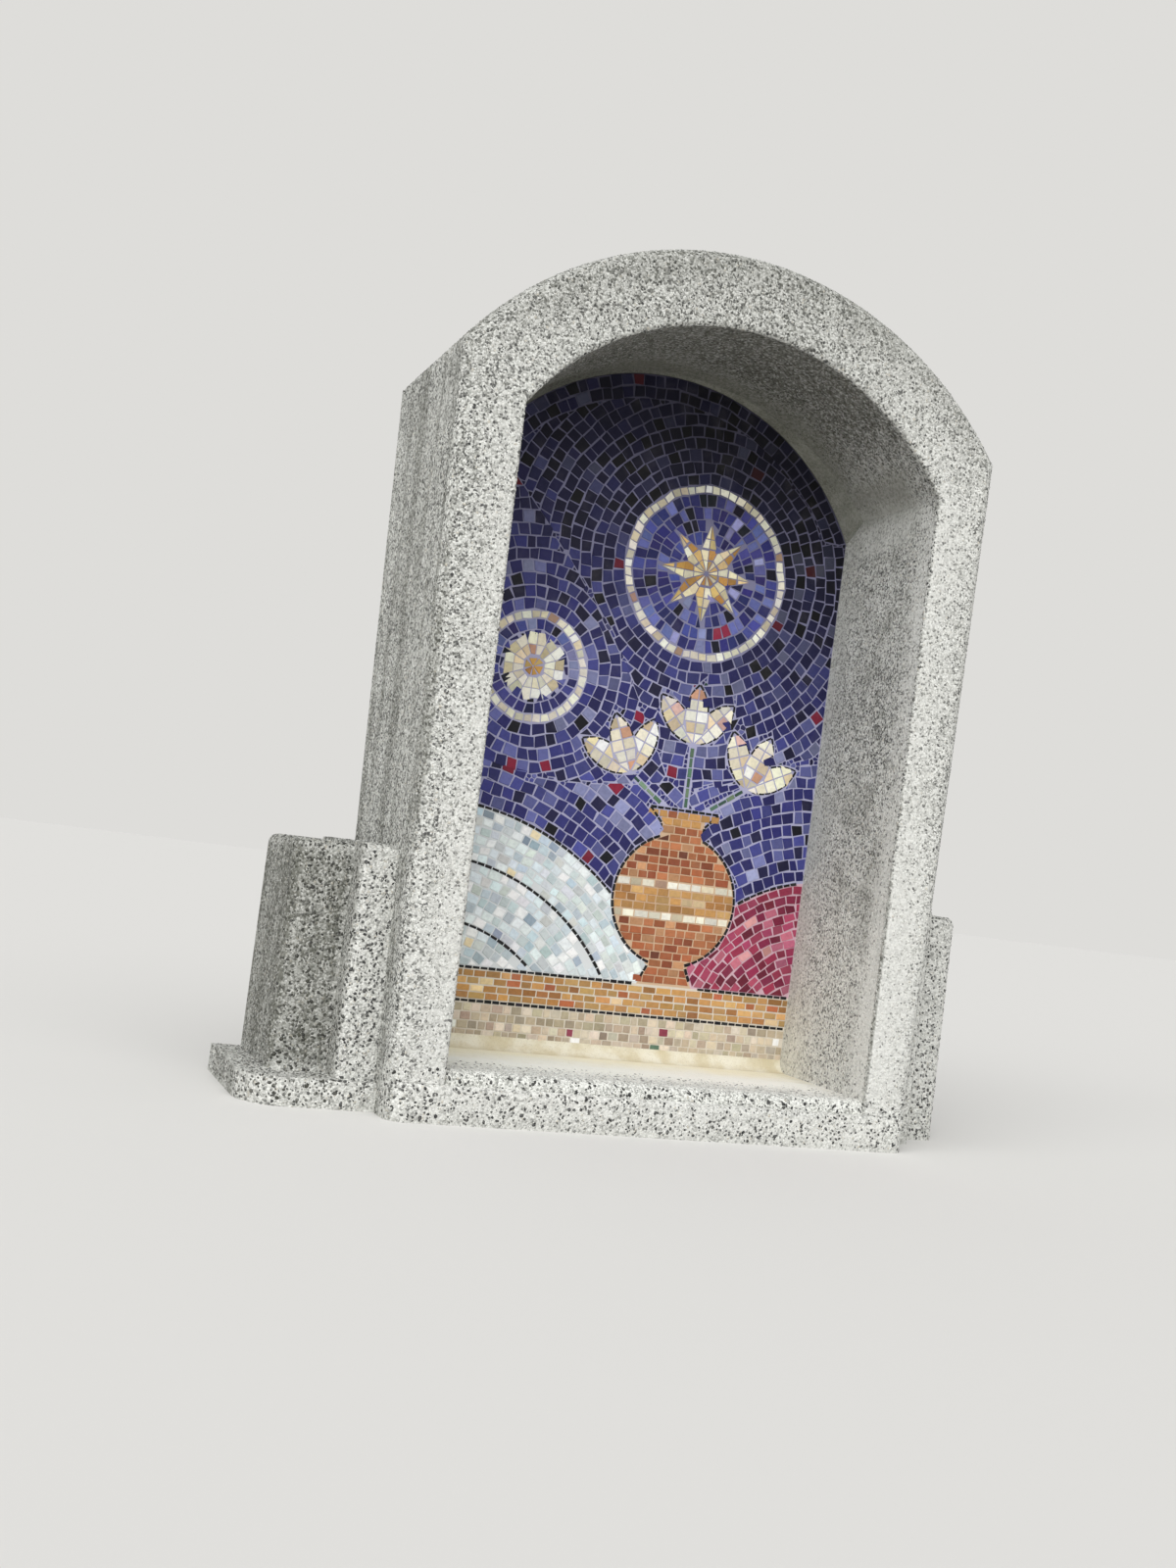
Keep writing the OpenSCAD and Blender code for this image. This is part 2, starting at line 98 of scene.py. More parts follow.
def largest(a, b):
    return a.math("MAXIMUM", a, b)


def smallest(a, b):
    return a.math("MINIMUM", a, b)


def between(value, low, high):
    """0 at low, 1 at high, with soft ends."""
    return value.graph.add("ShaderNodeMapRange", {"interpolation_type": "SMOOTHSTEP"},
                           {"Value": value, "From Min": low, "From Max": high})


class Graph:
    """A node tree that is written as expressions."""

    def __init__(self, tree):
        self.tree = tree

    def add(self, kind, settings, sockets, out=0):
        """Adds a node: its settings are set first, then the values or links of its sockets."""
        node = self.tree.nodes.new(kind)
        for key, value in settings.items():
            if key == "stops":
                ramp = node.color_ramp
                while len(ramp.elements) < len(value):
                    ramp.elements.new(0.5)
                for element, (place, colour) in zip(ramp.elements, value):
                    element.position = place
                    element.color = (*srgb(*colour), 1)
                ramp.interpolation = "CONSTANT"
            else:
                setattr(node, key, value)
        for key, value in sockets.items():
            socket = node.inputs[key]
            if isinstance(value, Wire):
                self.tree.links.new(value.socket, socket)
            else:
                socket.default_value = (*value, 1) if socket.type == "RGBA" else value
        return Wire(self, node.outputs[out]) if len(node.outputs) else None

    def shake(self, place, scale, detail, reach):
        """A noise as a push in any direction, reach from end to end."""
        noise = self.add("ShaderNodeTexNoise", {}, {"Vector": place, "Scale": scale, "Detail": detail}, "Color")
        centred = self.add("ShaderNodeVectorMath", {"operation": "SUBTRACT"}, {0: noise, 1: (0.5, 0.5, 0.5)})
        return self.add("ShaderNodeVectorMath", {"operation": "SCALE"}, {0: centred, "Scale": reach})


class Finish(Graph):
    """A procedural material in the shrine's own frame. Its colours are on the 0 to 255 scale."""

    def __init__(self, name):
        self.material = bpy.data.materials.new(name)
        self.material.use_nodes = True
        super().__init__(self.material.node_tree)
        self.tree.nodes.clear()
        self.place = self.add("ShaderNodeTexCoord", {}, {}, "Object")

    def parts(self, vector):
        x = self.add("ShaderNodeSeparateXYZ", {}, {0: vector})
        return x, x.output(1), x.output(2)

    def stretched(self, x, y, z):
        return self.add("ShaderNodeMapping", {}, {"Vector": self.place, "Scale": (x, y, z)})

    def warped(self, scale, reach):
        """Coordinates shaken by up to reach metres, so that stones are not round."""
        push = self.shake(self.place, scale, 2, reach * 2)
        return self.add("ShaderNodeVectorMath", {"operation": "ADD"}, {0: self.place, 1: push})

    def noise(self, scale, detail=3, rough=0.55, at=None):
        return self.add("ShaderNodeTexNoise", {},
                        {"Vector": at or self.place, "Scale": scale, "Detail": detail, "Roughness": rough})

    def clusters(self):
        """Dark and pale stones lie in loose clusters about a centimetre across."""
        return self.noise(105, 3).sway(0.9)

    def cells(self, scale, at):
        """Distance from the middle of a random cell, and three random numbers for that cell."""
        near = self.add("ShaderNodeTexVoronoi", {}, {"Vector": at, "Scale": scale}, "Distance")
        chance = self.add("ShaderNodeSeparateColor", {}, {0: near.output("Color")})
        return near, chance, chance.output(1), chance.output(2)

    def held(self, name, out="Fac"):
        """A value that the mesh holds."""
        return self.add("ShaderNodeAttribute", {"attribute_name": name}, {}, out)

    def ramp(self, value, stops):
        return self.add("ShaderNodeValToRGB", {"stops": stops}, {0: value})

    def mix(self, amount, a, b, blend="MIX"):
        """Colour a with colour b over it, by amount."""
        a, b = (srgb(*c) if isinstance(c, tuple) else c for c in (a, b))
        return self.add("ShaderNodeMix", {"data_type": "RGBA", "blend_type": blend}, {0: amount, 6: a, 7: b}, 2)

    def surface(self, colour, rough, height, lift, **fixed):
        """Closes the material with one Principled shader; lift is the bump's depth in metres."""
        bump = self.add("ShaderNodeBump", {}, {"Strength": 1.0, "Distance": lift, "Height": height})
        shader = self.add("ShaderNodeBsdfPrincipled", {},
                          {"Base Color": colour, "Roughness": rough, "Normal": bump, **fixed})
        self.add("ShaderNodeOutputMaterial", {}, {"Surface": shader})
        return self.material


def srgb(r, g, b):
    """A colour read by eye on the 0 to 255 scale, as linear light."""
    return tuple((c / 255 / 12.92) if c <= 10 else ((c / 255 + 0.055) / 1.055) ** 2.4 for c in (r, g, b))


def rise(value, low, high):
    """0 at low, 1 at high."""
    return min(1.0, max(0.0, (value - low) / (high - low)))


# Measures of the shrine, from the frame

def span(node):
    low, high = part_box(node)
    return Vector(low), Vector(high)


def arc_radius(half, height):
    """Radius of an arc of this half width and height."""
    return (half ** 2 + height ** 2) / (2 * height)


BASE_HIGH = span("base_slab")[1]
FRONT_Y = span("arch_crown")[0].y
BACK_Y = BASE_HIGH.y
SILL_HIGH = span("sill")[1]
SILL_Z = SILL_HIGH.z
MOSAIC_Y = span("mosaic_sky")[0].y
BED_LOW, BED_HIGH = span("mosaic_bed")
SPRING_HALF = BED_HIGH.x
WING_X = span("right_inner_wing")[1].x
# springings of the niche's mouth and of the mosaic
NICHE_SPRING = SILL_Z + 1.012
MOSAIC_SPRING = SILL_Z + 0.975
# the mouth of the niche: half its width at height z, and the arc that closes it
JAMB_LEAN = (SPRING_HALF - SILL_HIGH.x) / (NICHE_SPRING - BASE_HIGH.z)
JAMB_FOOT = SILL_HIGH.x - BASE_HIGH.z * JAMB_LEAN
ARC_R = arc_radius(SPRING_HALF, BED_HIGH.z - NICHE_SPRING)
ARC_Z = BED_HIGH.z - ARC_R

# Finishes

STONE_STOPS = [(0.0, (34, 35, 36)), (0.14, (74, 75, 74)), (0.30, (114, 115, 112)),
               (0.48, (162, 163, 158)), (0.64, (222, 223, 218)), (0.95, (204, 199, 186))]
SAND_STOPS = [(0.0, (78, 79, 77)), (0.14, (128, 129, 125)), (0.30, (182, 183, 178)),
              (0.48, (216, 217, 212)), (0.76, (238, 239, 234))]
# colours of soiling with painted shade in it; the darker one serves the vault and the stones
SOILING_AND_SHADE = (84, 85, 74)
DARK_SOILING_AND_SHADE = (66, 66, 55)
CLAY_JOINT = (206, 176, 146)


def pebble_render():
    """Cement render with its surface washed back to show small stones."""
    f = Finish("pebble_render")
    x, y, z = f.parts(f.place)
    wide = abs(x)
    blotch = f.noise(4.5, 4)
    patch = f.noise(19, 4, 0.6)
    streak = f.noise(1.0, 4, at=f.stretched(17, 17, 1.3))
    thread = f.noise(1.0, 3, at=f.stretched(70, 70, 5))
    grit = f.noise(520, 2)
    shaken = f.warped(330, 1.7 * MM)
    near, chance, pick, hidden = f.cells(195, shaken)
    fine_near, fine_chance, _, fine_hidden = f.cells(290, shaken)
    cluster = f.clusters()
    nx, ny, nz = f.parts(f.add("ShaderNodeNewGeometry", {}, {}, "Normal"))
    # distance from the mouth of the niche, across the jambs and across the arch
    jamb = wide - (z * JAMB_LEAN + JAMB_FOOT)
    across = (x * x + (z - ARC_Z) * (z - ARC_Z)) ** 0.5 - ARC_R
    high = between(z + patch.sway(0.07), NICHE_SPRING - 0.04, NICHE_SPRING + 0.04)
    mouth = jamb + (across - jamb) * between(z, NICHE_SPRING - 0.01, NICHE_SPRING + 0.01)
    # trowelled zones: beside the mosaic, at the back of the soffit and round the springing
    inside = between(mouth, 3 * MM, -1 * MM) * between(y, FRONT_Y + 4 * MM, FRONT_Y + 12 * MM)
    inside *= between(y, BACK_Y - 20 * MM, BACK_Y - 30 * MM)
    jambs = inside * (1 - high)
    front_of = FRONT_Y + 0.10 - 0.04 * high
    worn = y + blotch.sway(0.16) + patch.sway(0.10) + thread.sway(0.06)
    springing = between(abs(z - NICHE_SPRING) + blotch.sway(0.10), 0.10, 0.03)
    springing *= between(y, FRONT_Y + 0.03, FRONT_Y + 0.09)
    smooth = inside * largest(between(worn, front_of + 0.09, front_of + 0.21), springing)
    washed = 1 - smooth * 0.93
    foot = between(z, 0.095, 0.075)
    wing = between(wide, 0.452, 0.466) * between(z, 0.42, 0.40)
    # stones under a thin film of cement
    coarse = largest(foot, wing)
    sand = f.ramp(fine_chance + cluster, SAND_STOPS)
    # painted shade in the crevices between the small stones
    sand = f.mix(between(fine_near, 0.36, 0.66) * 0.42, sand, (130, 130, 122))
    sand = f.mix(coarse * 0.32, sand, (246, 246, 240))
    stone_side = between(near, 0.52, 0.40)
    chosen = between(pick - coarse * 0.14, 0.50, 0.48)
    colour = f.mix(stone_side * chosen, sand, f.ramp(chance + cluster, STONE_STOPS))
    front = between(ny, -0.55, -0.85)
    film = 0.08 + 0.16 * between(blotch, 0.35, 0.7)
    film += front * 0.30 * between(mouth, 0.085, 0.01) * between(z, 1.25, 1.0)
    film += front * (1 - foot) * (0.18 * between(x, 0.1, 0.4) + 0.20 * between(z, 0.62, 0.30) * (1 - wing))
    mouth_edge = jambs * between(y + patch.sway(0.03), FRONT_Y + 0.075, FRONT_Y + 0.030)
    film += jambs * (0.08 + 0.20 * between(z, 0.55, 0.25)) + mouth_edge * 0.44 + between(x, 0.47, 0.50) * 0.12
    film = smallest(film, 0.8)
    veil = between(film * 1.15 - hidden, -0.05, 0.05) * stone_side
    veil += between(film * 1.15 - fine_hidden, -0.05, 0.05) * (1 - stone_side)
    cement = f.mix(patch, (210, 210, 204), (234, 234, 230))
    colour = f.mix(smallest(film * 0.30 + veil * 0.55, 0.9), colour, cement)
    # trowelled cement in its place; the vault's is written dark, partly as painted shade, and darker still towards the
    # left as painted shade
    vault = f.mix(patch, (104, 104, 92), (146, 147, 136))
    vault = f.mix(between(x + blotch.sway(0.2), 0.20, -0.10) * 0.55, vault, (72, 72, 60))
    vault = f.mix(between(z + patch.sway(0.08), NICHE_SPRING + 0.14, NICHE_SPRING) * 0.6, vault, (148, 148, 140))
    reveal = f.mix(between(patch, 0.3, 0.7), (204, 205, 199), (230, 231, 226))
    reveal = f.mix(between(fine_chance, 0.36, 0.30) * 0.42, reveal, (112, 113, 106))
    warm = between(z + patch.sway(0.1), 0.42, 0.16) * between(y, FRONT_Y + 0.12, FRONT_Y + 0.27)
    reveal = f.mix(warm * 0.20, reveal, (226, 218, 196))
    reveal = f.mix(between(streak + patch.sway(0.9), 0.46, 0.74) * 0.22, reveal, (150, 151, 143))
    reveal = f.mix(between(grit, 0.52, 0.66) * 0.22, reveal, (96, 97, 90))
    colour = f.mix(smooth, colour, f.mix(high, reveal, vault))
    # weather and painted shade: dark streaks on the left sides, painted shadow of foliage on the left outer wing,
    # painted shade in the crease between the wings and over darker stone in the vault, weathered tops, darker along
    # the foot and at the top of the crown's front
    side = between(abs(nx), 0.5, 0.9) * (1 - inside)
    left = between(nx, -0.35, -0.8) * (1 - inside)
    low = between(z, 0.42, 0.36) * between(wide, 0.452, 0.470) * between(z, 0.03, 0.07)
    outer = between(wide, WING_X - 2 * MM, WING_X + 12 * MM) * between(x, 0.0, -0.1)
    # painted shade in the concave crease where the inner and outer wings meet
    crease_shade = between(abs(wide - WING_X) + patch.sway(0.008), 0.008, 0.001) * low
    runs = between(streak + thread.sway(0.25) + patch.sway(0.3), 0.44, 0.60)
    # dark streaks on the left sides, and a painted shadow of foliage, streaked, over the left outer wing
    grime = side * 0.02 + left * (0.02 + 0.46 * runs) * (1 - low * 0.75) + low * outer * (0.50 + 0.26 * runs)
    grime += crease_shade * 0.26 + between(nz, 0.4, 0.9) * between(z, 0.1, 0.3) * 0.3
    # painted shade over darker stone in the vault, darker towards its crown
    grime += inside * high * washed * (0.34 + 0.60 * between(z, NICHE_SPRING + 0.03, NICHE_SPRING + 0.17))
    grime += front * between(z, 1.06, 1.36) * (0.18 + 0.20 * between(mouth, 0.05, 0.11))
    mottled = between(0.5 * blotch + 0.5 * patch, 0.46, 0.57) * between(z, 0.16, 0.40)
    grime += jambs * washed * (1 - mouth_edge) * 0.40 * mottled
    grime += between(nz, 0.35, -0.1) * between(z + patch.sway(0.03), 0.030, 0.0) * 0.14
    grime = smallest(grime * (0.55 + 0.9 * fine_hidden), 0.85)
    # soiling and painted shade together, darkest in the vault
    colour = f.mix(grime, colour, f.mix(inside * high, SOILING_AND_SHADE, DARK_SOILING_AND_SHADE))
    height = stone_side * chosen * (1 - near) * 0.9 + (0.62 - fine_near) * 0.7
    height = height * washed * (1.15 - film) + patch * 0.5 + grit * 0.20
    return f.surface(colour, 0.88 - stone_side * 0.10, height, 1.7 * MM)


def smooth_cement():
    """Trowelled cement of the sill and the soffit: the sill stained towards the mosaic, the soffit darkened partly as
    painted shade.
    """
    f = Finish("smooth_cement")
    x, y, z = f.parts(f.place)
    blotch = f.noise(9, 4)
    patch = f.noise(40, 4, 0.6)
    trowel = f.noise(1.0, 3, at=f.stretched(8, 60, 60))
    grain = f.noise(420, 3, 0.7)
    pale = f.mix(blotch, (244, 246, 236), (254, 254, 248))
    warm = between(y + blotch.sway(0.16) + patch.sway(0.08), MOSAIC_Y - 0.16, MOSAIC_Y - 0.01)
    sill = f.mix(warm * 0.80, pale, (250, 243, 212))
    ends = between(abs(x) + patch.sway(0.05), SILL_HIGH.x - 0.05, SILL_HIGH.x)
    sill = f.mix(ends * 0.22, sill, (170, 168, 154))
    sill = f.mix(between(grain + patch.sway(0.3), 0.52, 0.70) * 0.26, sill, (168, 166, 152))
    # the soffit is written dark, partly as painted shade, and darker still towards the left as painted shade
    vault = f.mix(between(blotch + patch.sway(0.4), 0.3, 0.7), (100, 100, 88), (134, 134, 123))
    vault = f.mix(between(x + blotch.sway(0.2), 0.16, -0.14) * 0.75, vault, (54, 54, 45))
    vault = f.mix(between(grain, 0.50, 0.68) * 0.35, vault, (74, 75, 66))
    springing = between(z + patch.sway(0.08), NICHE_SPRING + 0.14, NICHE_SPRING - 0.02)
    vault = f.mix(springing * 0.65, vault, f.mix(between(patch, 0.3, 0.7), (116, 117, 108), (150, 151, 142)))
    high = between(z, 0.3, 0.5)
    near, chance, _, _ = f.cells(380, f.warped(330, 1.7 * MM))
    nose = between(y + patch.sway(0.10) + blotch.sway(0.06), FRONT_Y + 0.130, FRONT_Y + 0.020) * (1 - high)
    colour = f.mix(0.10 * high + nose * 0.70, f.mix(high, sill, vault), f.ramp(chance, SAND_STOPS))
    height = blotch * 0.6 + trowel * 0.25 + grain * 0.5 + (0.62 - near) * (0.1 + nose * 0.6)
    return f.surface(colour, 0.82, height, 1.6 * MM)


def mortar():
    """Rough yellowish mortar at the foot of the mosaic."""
    f = Finish("mortar")
    blotch = f.noise(22, 4)
    grain = f.noise(420, 3, 0.7)
    colour = f.mix(between(blotch, 0.35, 0.65), (214, 203, 172), (236, 231, 213))
    colour = f.mix(between(grain, 0.52, 0.70) * 0.40, colour, (168, 156, 126))
    return f.surface(colour, 0.85, blotch + grain * 0.5, 1.8 * MM)


def joint_grout():
    """Pale joint mortar of the mosaic, lilac among the blues and warm lower down, painted with shade higher up and
    towards the right.
    """
    f = Finish("grout")
    x, _, z = f.parts(f.place)
    blotch = f.noise(14, 4)
    dark = f.mix(blotch, (58, 57, 72), (86, 84, 104))
    dusky = f.mix(blotch, (112, 111, 140), (140, 139, 168))
    lilac = f.mix(blotch, (158, 157, 190), (190, 189, 216))
    # painted shade: the joints darken upwards, more so towards the right
    level = z + blotch.sway(0.12) + between(x, -0.2, 0.25) * 0.10
    colour = f.mix(between(level, 1.26, 1.06), dark, dusky)
    colour = f.mix(between(level, 1.00, 0.70), colour, lilac)
    for (cx, cz, r), tone in ((PALE_HILL, (220, 224, 226)), (RED_HILL, (208, 174, 186)), (URN_BELLY, CLAY_JOINT)):
        away = ((x - cx) * (x - cx) + (z - cz) * (z - cz)) ** 0.5
        colour = f.mix(between(away, r + 1 * MM, r - 1 * MM), colour, tone)
    aside = abs(x - URN_X)
    neck = between(aside, URN_NECK + 1 * MM, URN_NECK - 1 * MM) * between(z, URN_LIP_Z + 10 * MM, URN_LIP_Z)
    spread = URN_WAIST / (URN_STAND + URN_R * 0.2)
    foot = between(aside + (z - UPPER_STEP_Z) * spread, URN_FOOT + 1 * MM, URN_FOOT - 1 * MM)
    foot *= between(z, URN_BELLY_Z - URN_R * 0.6, URN_BELLY_Z - URN_R * 0.7)
    colour = f.mix(largest(neck, foot), colour, CLAY_JOINT)
    warm = f.mix(blotch, (208, 198, 182), (228, 221, 208))
    colour = f.mix(between(z, UPPER_STEP_Z + MM, UPPER_STEP_Z - MM), colour, warm)
    return f.surface(colour, 0.9, blotch * 0.5 + f.noise(500, 2) * 0.5, 0.5 * MM)


def tessera_glass():
    """Vitreous mosaic squares: the tint of each is held in the mesh."""
    f = Finish("tessera_glass")
    tint = f.held("tint", "Color")
    cloud = f.noise(160, 4)
    speck = f.noise(700, 2)
    colour = f.mix(between(cloud, 0.35, 0.75) * 0.30, tint, f.mix(1.0, tint, (186, 184, 190), "MULTIPLY"))
    colour = f.mix(between(speck, 0.68, 0.82) * 0.18, colour, (205, 203, 204))
    dust = between(f.noise(30, 3), 0.5, 0.8) * 0.04
    colour = f.mix(dust, colour, (190, 186, 182))
    return f.surface(colour, 0.42 + 0.22 * cloud, cloud * 0.6 + speck * 0.4, 0.25 * MM,
                     **{"Specular IOR Level": 0.3})


def stone_grains():
    """Washed stones that stand out of the render: each one's tone is held in the mesh."""
    f = Finish("stone_grains")
    colour = f.ramp(f.held("tone") + f.clusters(), STONE_STOPS)
    colour = f.mix(between(f.noise(240, 3), 0.42, 0.7) * 0.20, colour, (188, 187, 180))
    colour = f.mix(f.held("film"), colour, (224, 224, 218))
    # soiling and painted shade of the stone's place
    colour = f.mix(f.held("grime"), colour, DARK_SOILING_AND_SHADE)
    return f.surface(colour, 0.6, f.noise(900, 2), 0.3 * MM)


# Outlines of the mosaic's design, as signed distances in metres (negative inside)

def ball(cx, cz, r):
    return lambda p: hypot(p[0] - cx, p[1] - cz) - r


def sides(points):
    """The sides of a closed polygon."""
    return list(zip(points, points[1:] + points[:1]))


def flat_shape(points):
    """Signed distance to a closed polygon."""
    def distance(p):
        best = 1e9
        inside = False
        for (ax, az), (bx, bz) in sides(points):
            ex, ez = bx - ax, bz - az
            wx, wz = p[0] - ax, p[1] - az
            t = min(1.0, max(0.0, (wx * ex + wz * ez) / (ex * ex + ez * ez)))
            best = min(best, hypot(wx - ex * t, wz - ez * t))
            if (az > p[1]) != (bz > p[1]) and p[0] < ax + (p[1] - az) / (bz - az) * ex:
                inside = not inside
        return -best if inside else best
    return distance


def union(*parts):
    return lambda p: min(part(p) for part in parts)


def outside(shape):
    return lambda p: -shape(p)


def above(level):
    return lambda p: p[1] - level


def centre_of(node):
    low, high = span(node)
    return (low.x + high.x) / 2, (low.z + high.z) / 2, (high.x - low.x) / 2


def circle_path(cx, cz, r):
    n = max(12, int(FULL_TURN * r / (3 * MM)))
    return [(cx + r * sin(FULL_TURN * i / n), cz + r * cos(FULL_TURN * i / n)) for i in range(n + 1)]


def line_path(a, b, n):
    return [(a[0] + (b[0] - a[0]) * i / n, a[1] + (b[1] - a[1]) * i / n) for i in range(n + 1)]


def turned(points, angle, x, z):
    """Points turned anticlockwise and moved."""
    c, s = cos(angle), sin(angle)
    return [(x + c * a - s * b, z + s * a + c * b) for a, b in points]


# Circles are given as x, z and radius
LARGE_RING = centre_of("mosaic_large_ring")
SMALL_RING = centre_of("mosaic_small_ring")
RING_X, RING_Z, _ = LARGE_RING
SMALL_X, SMALL_Z, _ = SMALL_RING
RING_W = 15 * MM
STAR_R = centre_of("mosaic_star")[2]
STAR_POINTS = 8
STAR_NOTCH = 0.46
PETAL_R = 17 * MM
PETAL_OUT = 2.2 * PETAL_R
HEART_R = PETAL_R * 1.05
PETALS = 8
PETAL_ANGLES = [i * 2 * pi / PETALS for i in range(PETALS)]
LOWER_STEP_Z = span("mosaic_lower_step")[1].z
UPPER_STEP_Z = span("mosaic_upper_step")[1].z
URN_X, _, URN_R = centre_of("mosaic_urn")
URN_STAND = 34 * MM
URN_FOOT = URN_R * 0.45
URN_WAIST = URN_R * 0.225
URN_BELLY_Z = UPPER_STEP_Z + URN_STAND + URN_R
URN_BELLY = (URN_X, URN_BELLY_Z, URN_R)
URN_LIP_Z = URN_BELLY_Z + URN_R * 0.86 + 46 * MM
URN_NECK = 42 * MM
URN_LIP_H = 26 * MM
PALE_HILL = (-0.330, SILL_Z - 0.060, 0.470)
RED_HILL = (0.420, SILL_Z + 0.020, 0.330)
FURROWS = [PALE_HILL[2] * 0.80, PALE_HILL[2] * 0.58]
LILY_LENGTH = 108 * MM
LILY_WIDE = 44 * MM
STEM_W = 8 * MM

# The mosaic's own outline: leaning sides under an arc
FOOT_HALF = span("mosaic_lower_step")[1].x
MOSAIC_TOP = span("mosaic_sky")[1].z
MOSAIC_HALF = FOOT_HALF + (MOSAIC_SPRING - LOWER_STEP_Z) * JAMB_LEAN
MOSAIC_R = arc_radius(MOSAIC_HALF, MOSAIC_TOP - MOSAIC_SPRING)
MOSAIC_ARC_Z = MOSAIC_TOP - MOSAIC_R


def panel(p):
    """Signed distance to the edge of the mosaic; its arch counts from a little below the springing."""
    side = abs(p[0]) - (FOOT_HALF + (p[1] - LOWER_STEP_Z) * JAMB_LEAN)
    arch = hypot(p[0], p[1] - MOSAIC_ARC_Z) - MOSAIC_R if p[1] > MOSAIC_SPRING - 0.2 else side
    return max(side, arch, SILL_Z - p[1])


def lily_petal(angle, x, z):
    """A pointed petal as a distance function and its outline."""
    r = (LILY_LENGTH ** 2 / 4 + LILY_WIDE ** 2 / 4) / LILY_WIDE
    middles = [(r - LILY_WIDE / 2, LILY_LENGTH / 2), (LILY_WIDE / 2 - r, LILY_LENGTH / 2)]
    left, right = (ball(a, b, r) for a, b in turned(middles, angle, x, z))
    half = asin(LILY_LENGTH / 2 / r)
    edge = [(LILY_WIDE / 2 - r + r * cos(t), LILY_LENGTH / 2 + r * sin(t)) for t in np.linspace(-half, half, 24)]
    outline = turned(edge + [(-a, b) for a, b in reversed(edge)], angle, x, z)
    return lambda p: max(left(p), right(p)), outline


def tapered(low_half, low, high_half, high):
    """Four corners of a part of the urn, from its lower to its upper edge."""
    return [(URN_X - low_half, low), (URN_X + low_half, low), (URN_X + high_half, high), (URN_X - high_half, high)]


STAR = [(RING_X + r * sin(i * pi / STAR_POINTS), RING_Z + r * cos(i * pi / STAR_POINTS))
        for i, r in enumerate([STAR_R, STAR_R * STAR_NOTCH] * STAR_POINTS)]
PETAL_CENTRES = [(SMALL_X + PETAL_OUT * cos(a), SMALL_Z + PETAL_OUT * sin(a)) for a in PETAL_ANGLES]
URN_SHAPES = [tapered(URN_FOOT, UPPER_STEP_Z, URN_WAIST, URN_BELLY_Z - URN_R * 0.8),
              tapered(URN_NECK, URN_BELLY_Z, URN_NECK, URN_LIP_Z),
              tapered(URN_NECK, URN_LIP_Z - URN_LIP_H / 2, URN_NECK * 1.6, URN_LIP_Z + URN_LIP_H / 2)]

LILY_PETALS = []
STEMS = []
# each lily has three petals; it stands this far from the middle of the urn's lip, and tilts in degrees
for dx, dz, tilt in ((-0.114, 0.066, 22), (0.0, 0.132, 0), (0.114, 0.066, -22)):
    for lean in (-42, 0, 42):
        stand = (radians(tilt + lean), URN_X + dx, URN_LIP_Z + dz)
        LILY_PETALS.append((*lily_petal(*stand), stand))
    length = hypot(dx * 0.84, dz) + 1.5 * STEM_W
    STEMS.append(turned([(-STEM_W / 2, 0), (STEM_W / 2, 0), (STEM_W / 2, length), (-STEM_W / 2, length)],
                        -atan2(dx * 0.84, dz), URN_X + dx * 0.16, URN_LIP_Z))

in_star = flat_shape(STAR)
in_rosette = union(ball(SMALL_X, SMALL_Z, PETAL_R * 1.5), *[ball(a, b, PETAL_R) for a, b in PETAL_CENTRES])
in_urn = union(ball(*URN_BELLY), *[flat_shape(shape) for shape in URN_SHAPES])
in_petals = union(*[shape for shape, _, _ in LILY_PETALS])
in_stems = union(*[flat_shape(stem) for stem in STEMS])
in_pale = ball(*PALE_HILL)
in_red = ball(*RED_HILL)
in_upper = above(UPPER_STEP_Z)
in_lower = above(LOWER_STEP_Z)

RENDER = pebble_render()
CEMENT = smooth_cement()
MORTAR = mortar()
GLASS = tessera_glass()
GRAINS = stone_grains()
GROUT = joint_grout()


# Pieces

def linked(name, data):
    """A new object in the scene."""
    obj = bpy.data.objects.new(name, data)
    bpy.context.scene.collection.objects.link(obj)
    return obj


def mesh_of(name, verts, faces, material=None):
    mesh = bpy.data.meshes.new(name)
    mesh.from_pydata(verts, [], faces)
    if material:
        mesh.materials.append(material)
    return mesh


def set_in_place(name, mesh, node=None):
    """A finished piece, riding on the shrine and standing for its CAD node."""
    obj = linked(name, mesh)
    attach(obj, "root")
    if node:
        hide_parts(node)
    return obj


# Laying of the tesserae

JOINT = 2.3 * MM
SQUARE = 19 * MM
# the black strips between areas: their width, the gap from one to the next, and how near an area comes to them
STRIP = 5 * MM
STRIP_GAP = 1.8 * MM
EDGE = STRIP / 2 + 1.1 * MM
# each face is smaller than its tessera, stands out by the arris and tilts a little
FACE_INSET = 1.4 * MM
ARRIS = 0.8 * MM
TILT = 0.016
SHORTEST_SIDE = 0.4 * MM
INSIDE_PANEL = (outside(panel), JOINT / 2)


def cut(polygon, point, normal):
    """Keeps the part of a convex polygon on the normal's side of a line through point."""
    kept = []
    for a, b in sides(polygon):
        da = (a[0] - point[0]) * normal[0] + (a[1] - point[1]) * normal[1]
        db = (b[0] - point[0]) * normal[0] + (b[1] - point[1]) * normal[1]
        if da >= 0:
            kept.append(a)
        if (da >= 0) != (db >= 0):
            t = da / (da - db)
            kept.append((a[0] + (b[0] - a[0]) * t, a[1] + (b[1] - a[1]) * t))
    return kept


def area_and_middle(polygon):
    """Signed area, positive when anticlockwise, and centre of area."""
    total = cx = cz = 0.0
    for (ax, az), (bx, bz) in sides(polygon):
        cross = ax * bz - bx * az
        total += cross
        cx += (ax + bx) * cross
        cz += (az + bz) * cross
    if abs(total) < 1e-12:
        return 0.0, polygon[0]
    return total / 2, (cx / (3 * total), cz / (3 * total))


def scaled(polygon, middle, k):
    mx, mz = middle
    return [(mx + (x - mx) * k, mz + (z - mz) * k) for x, z in polygon]


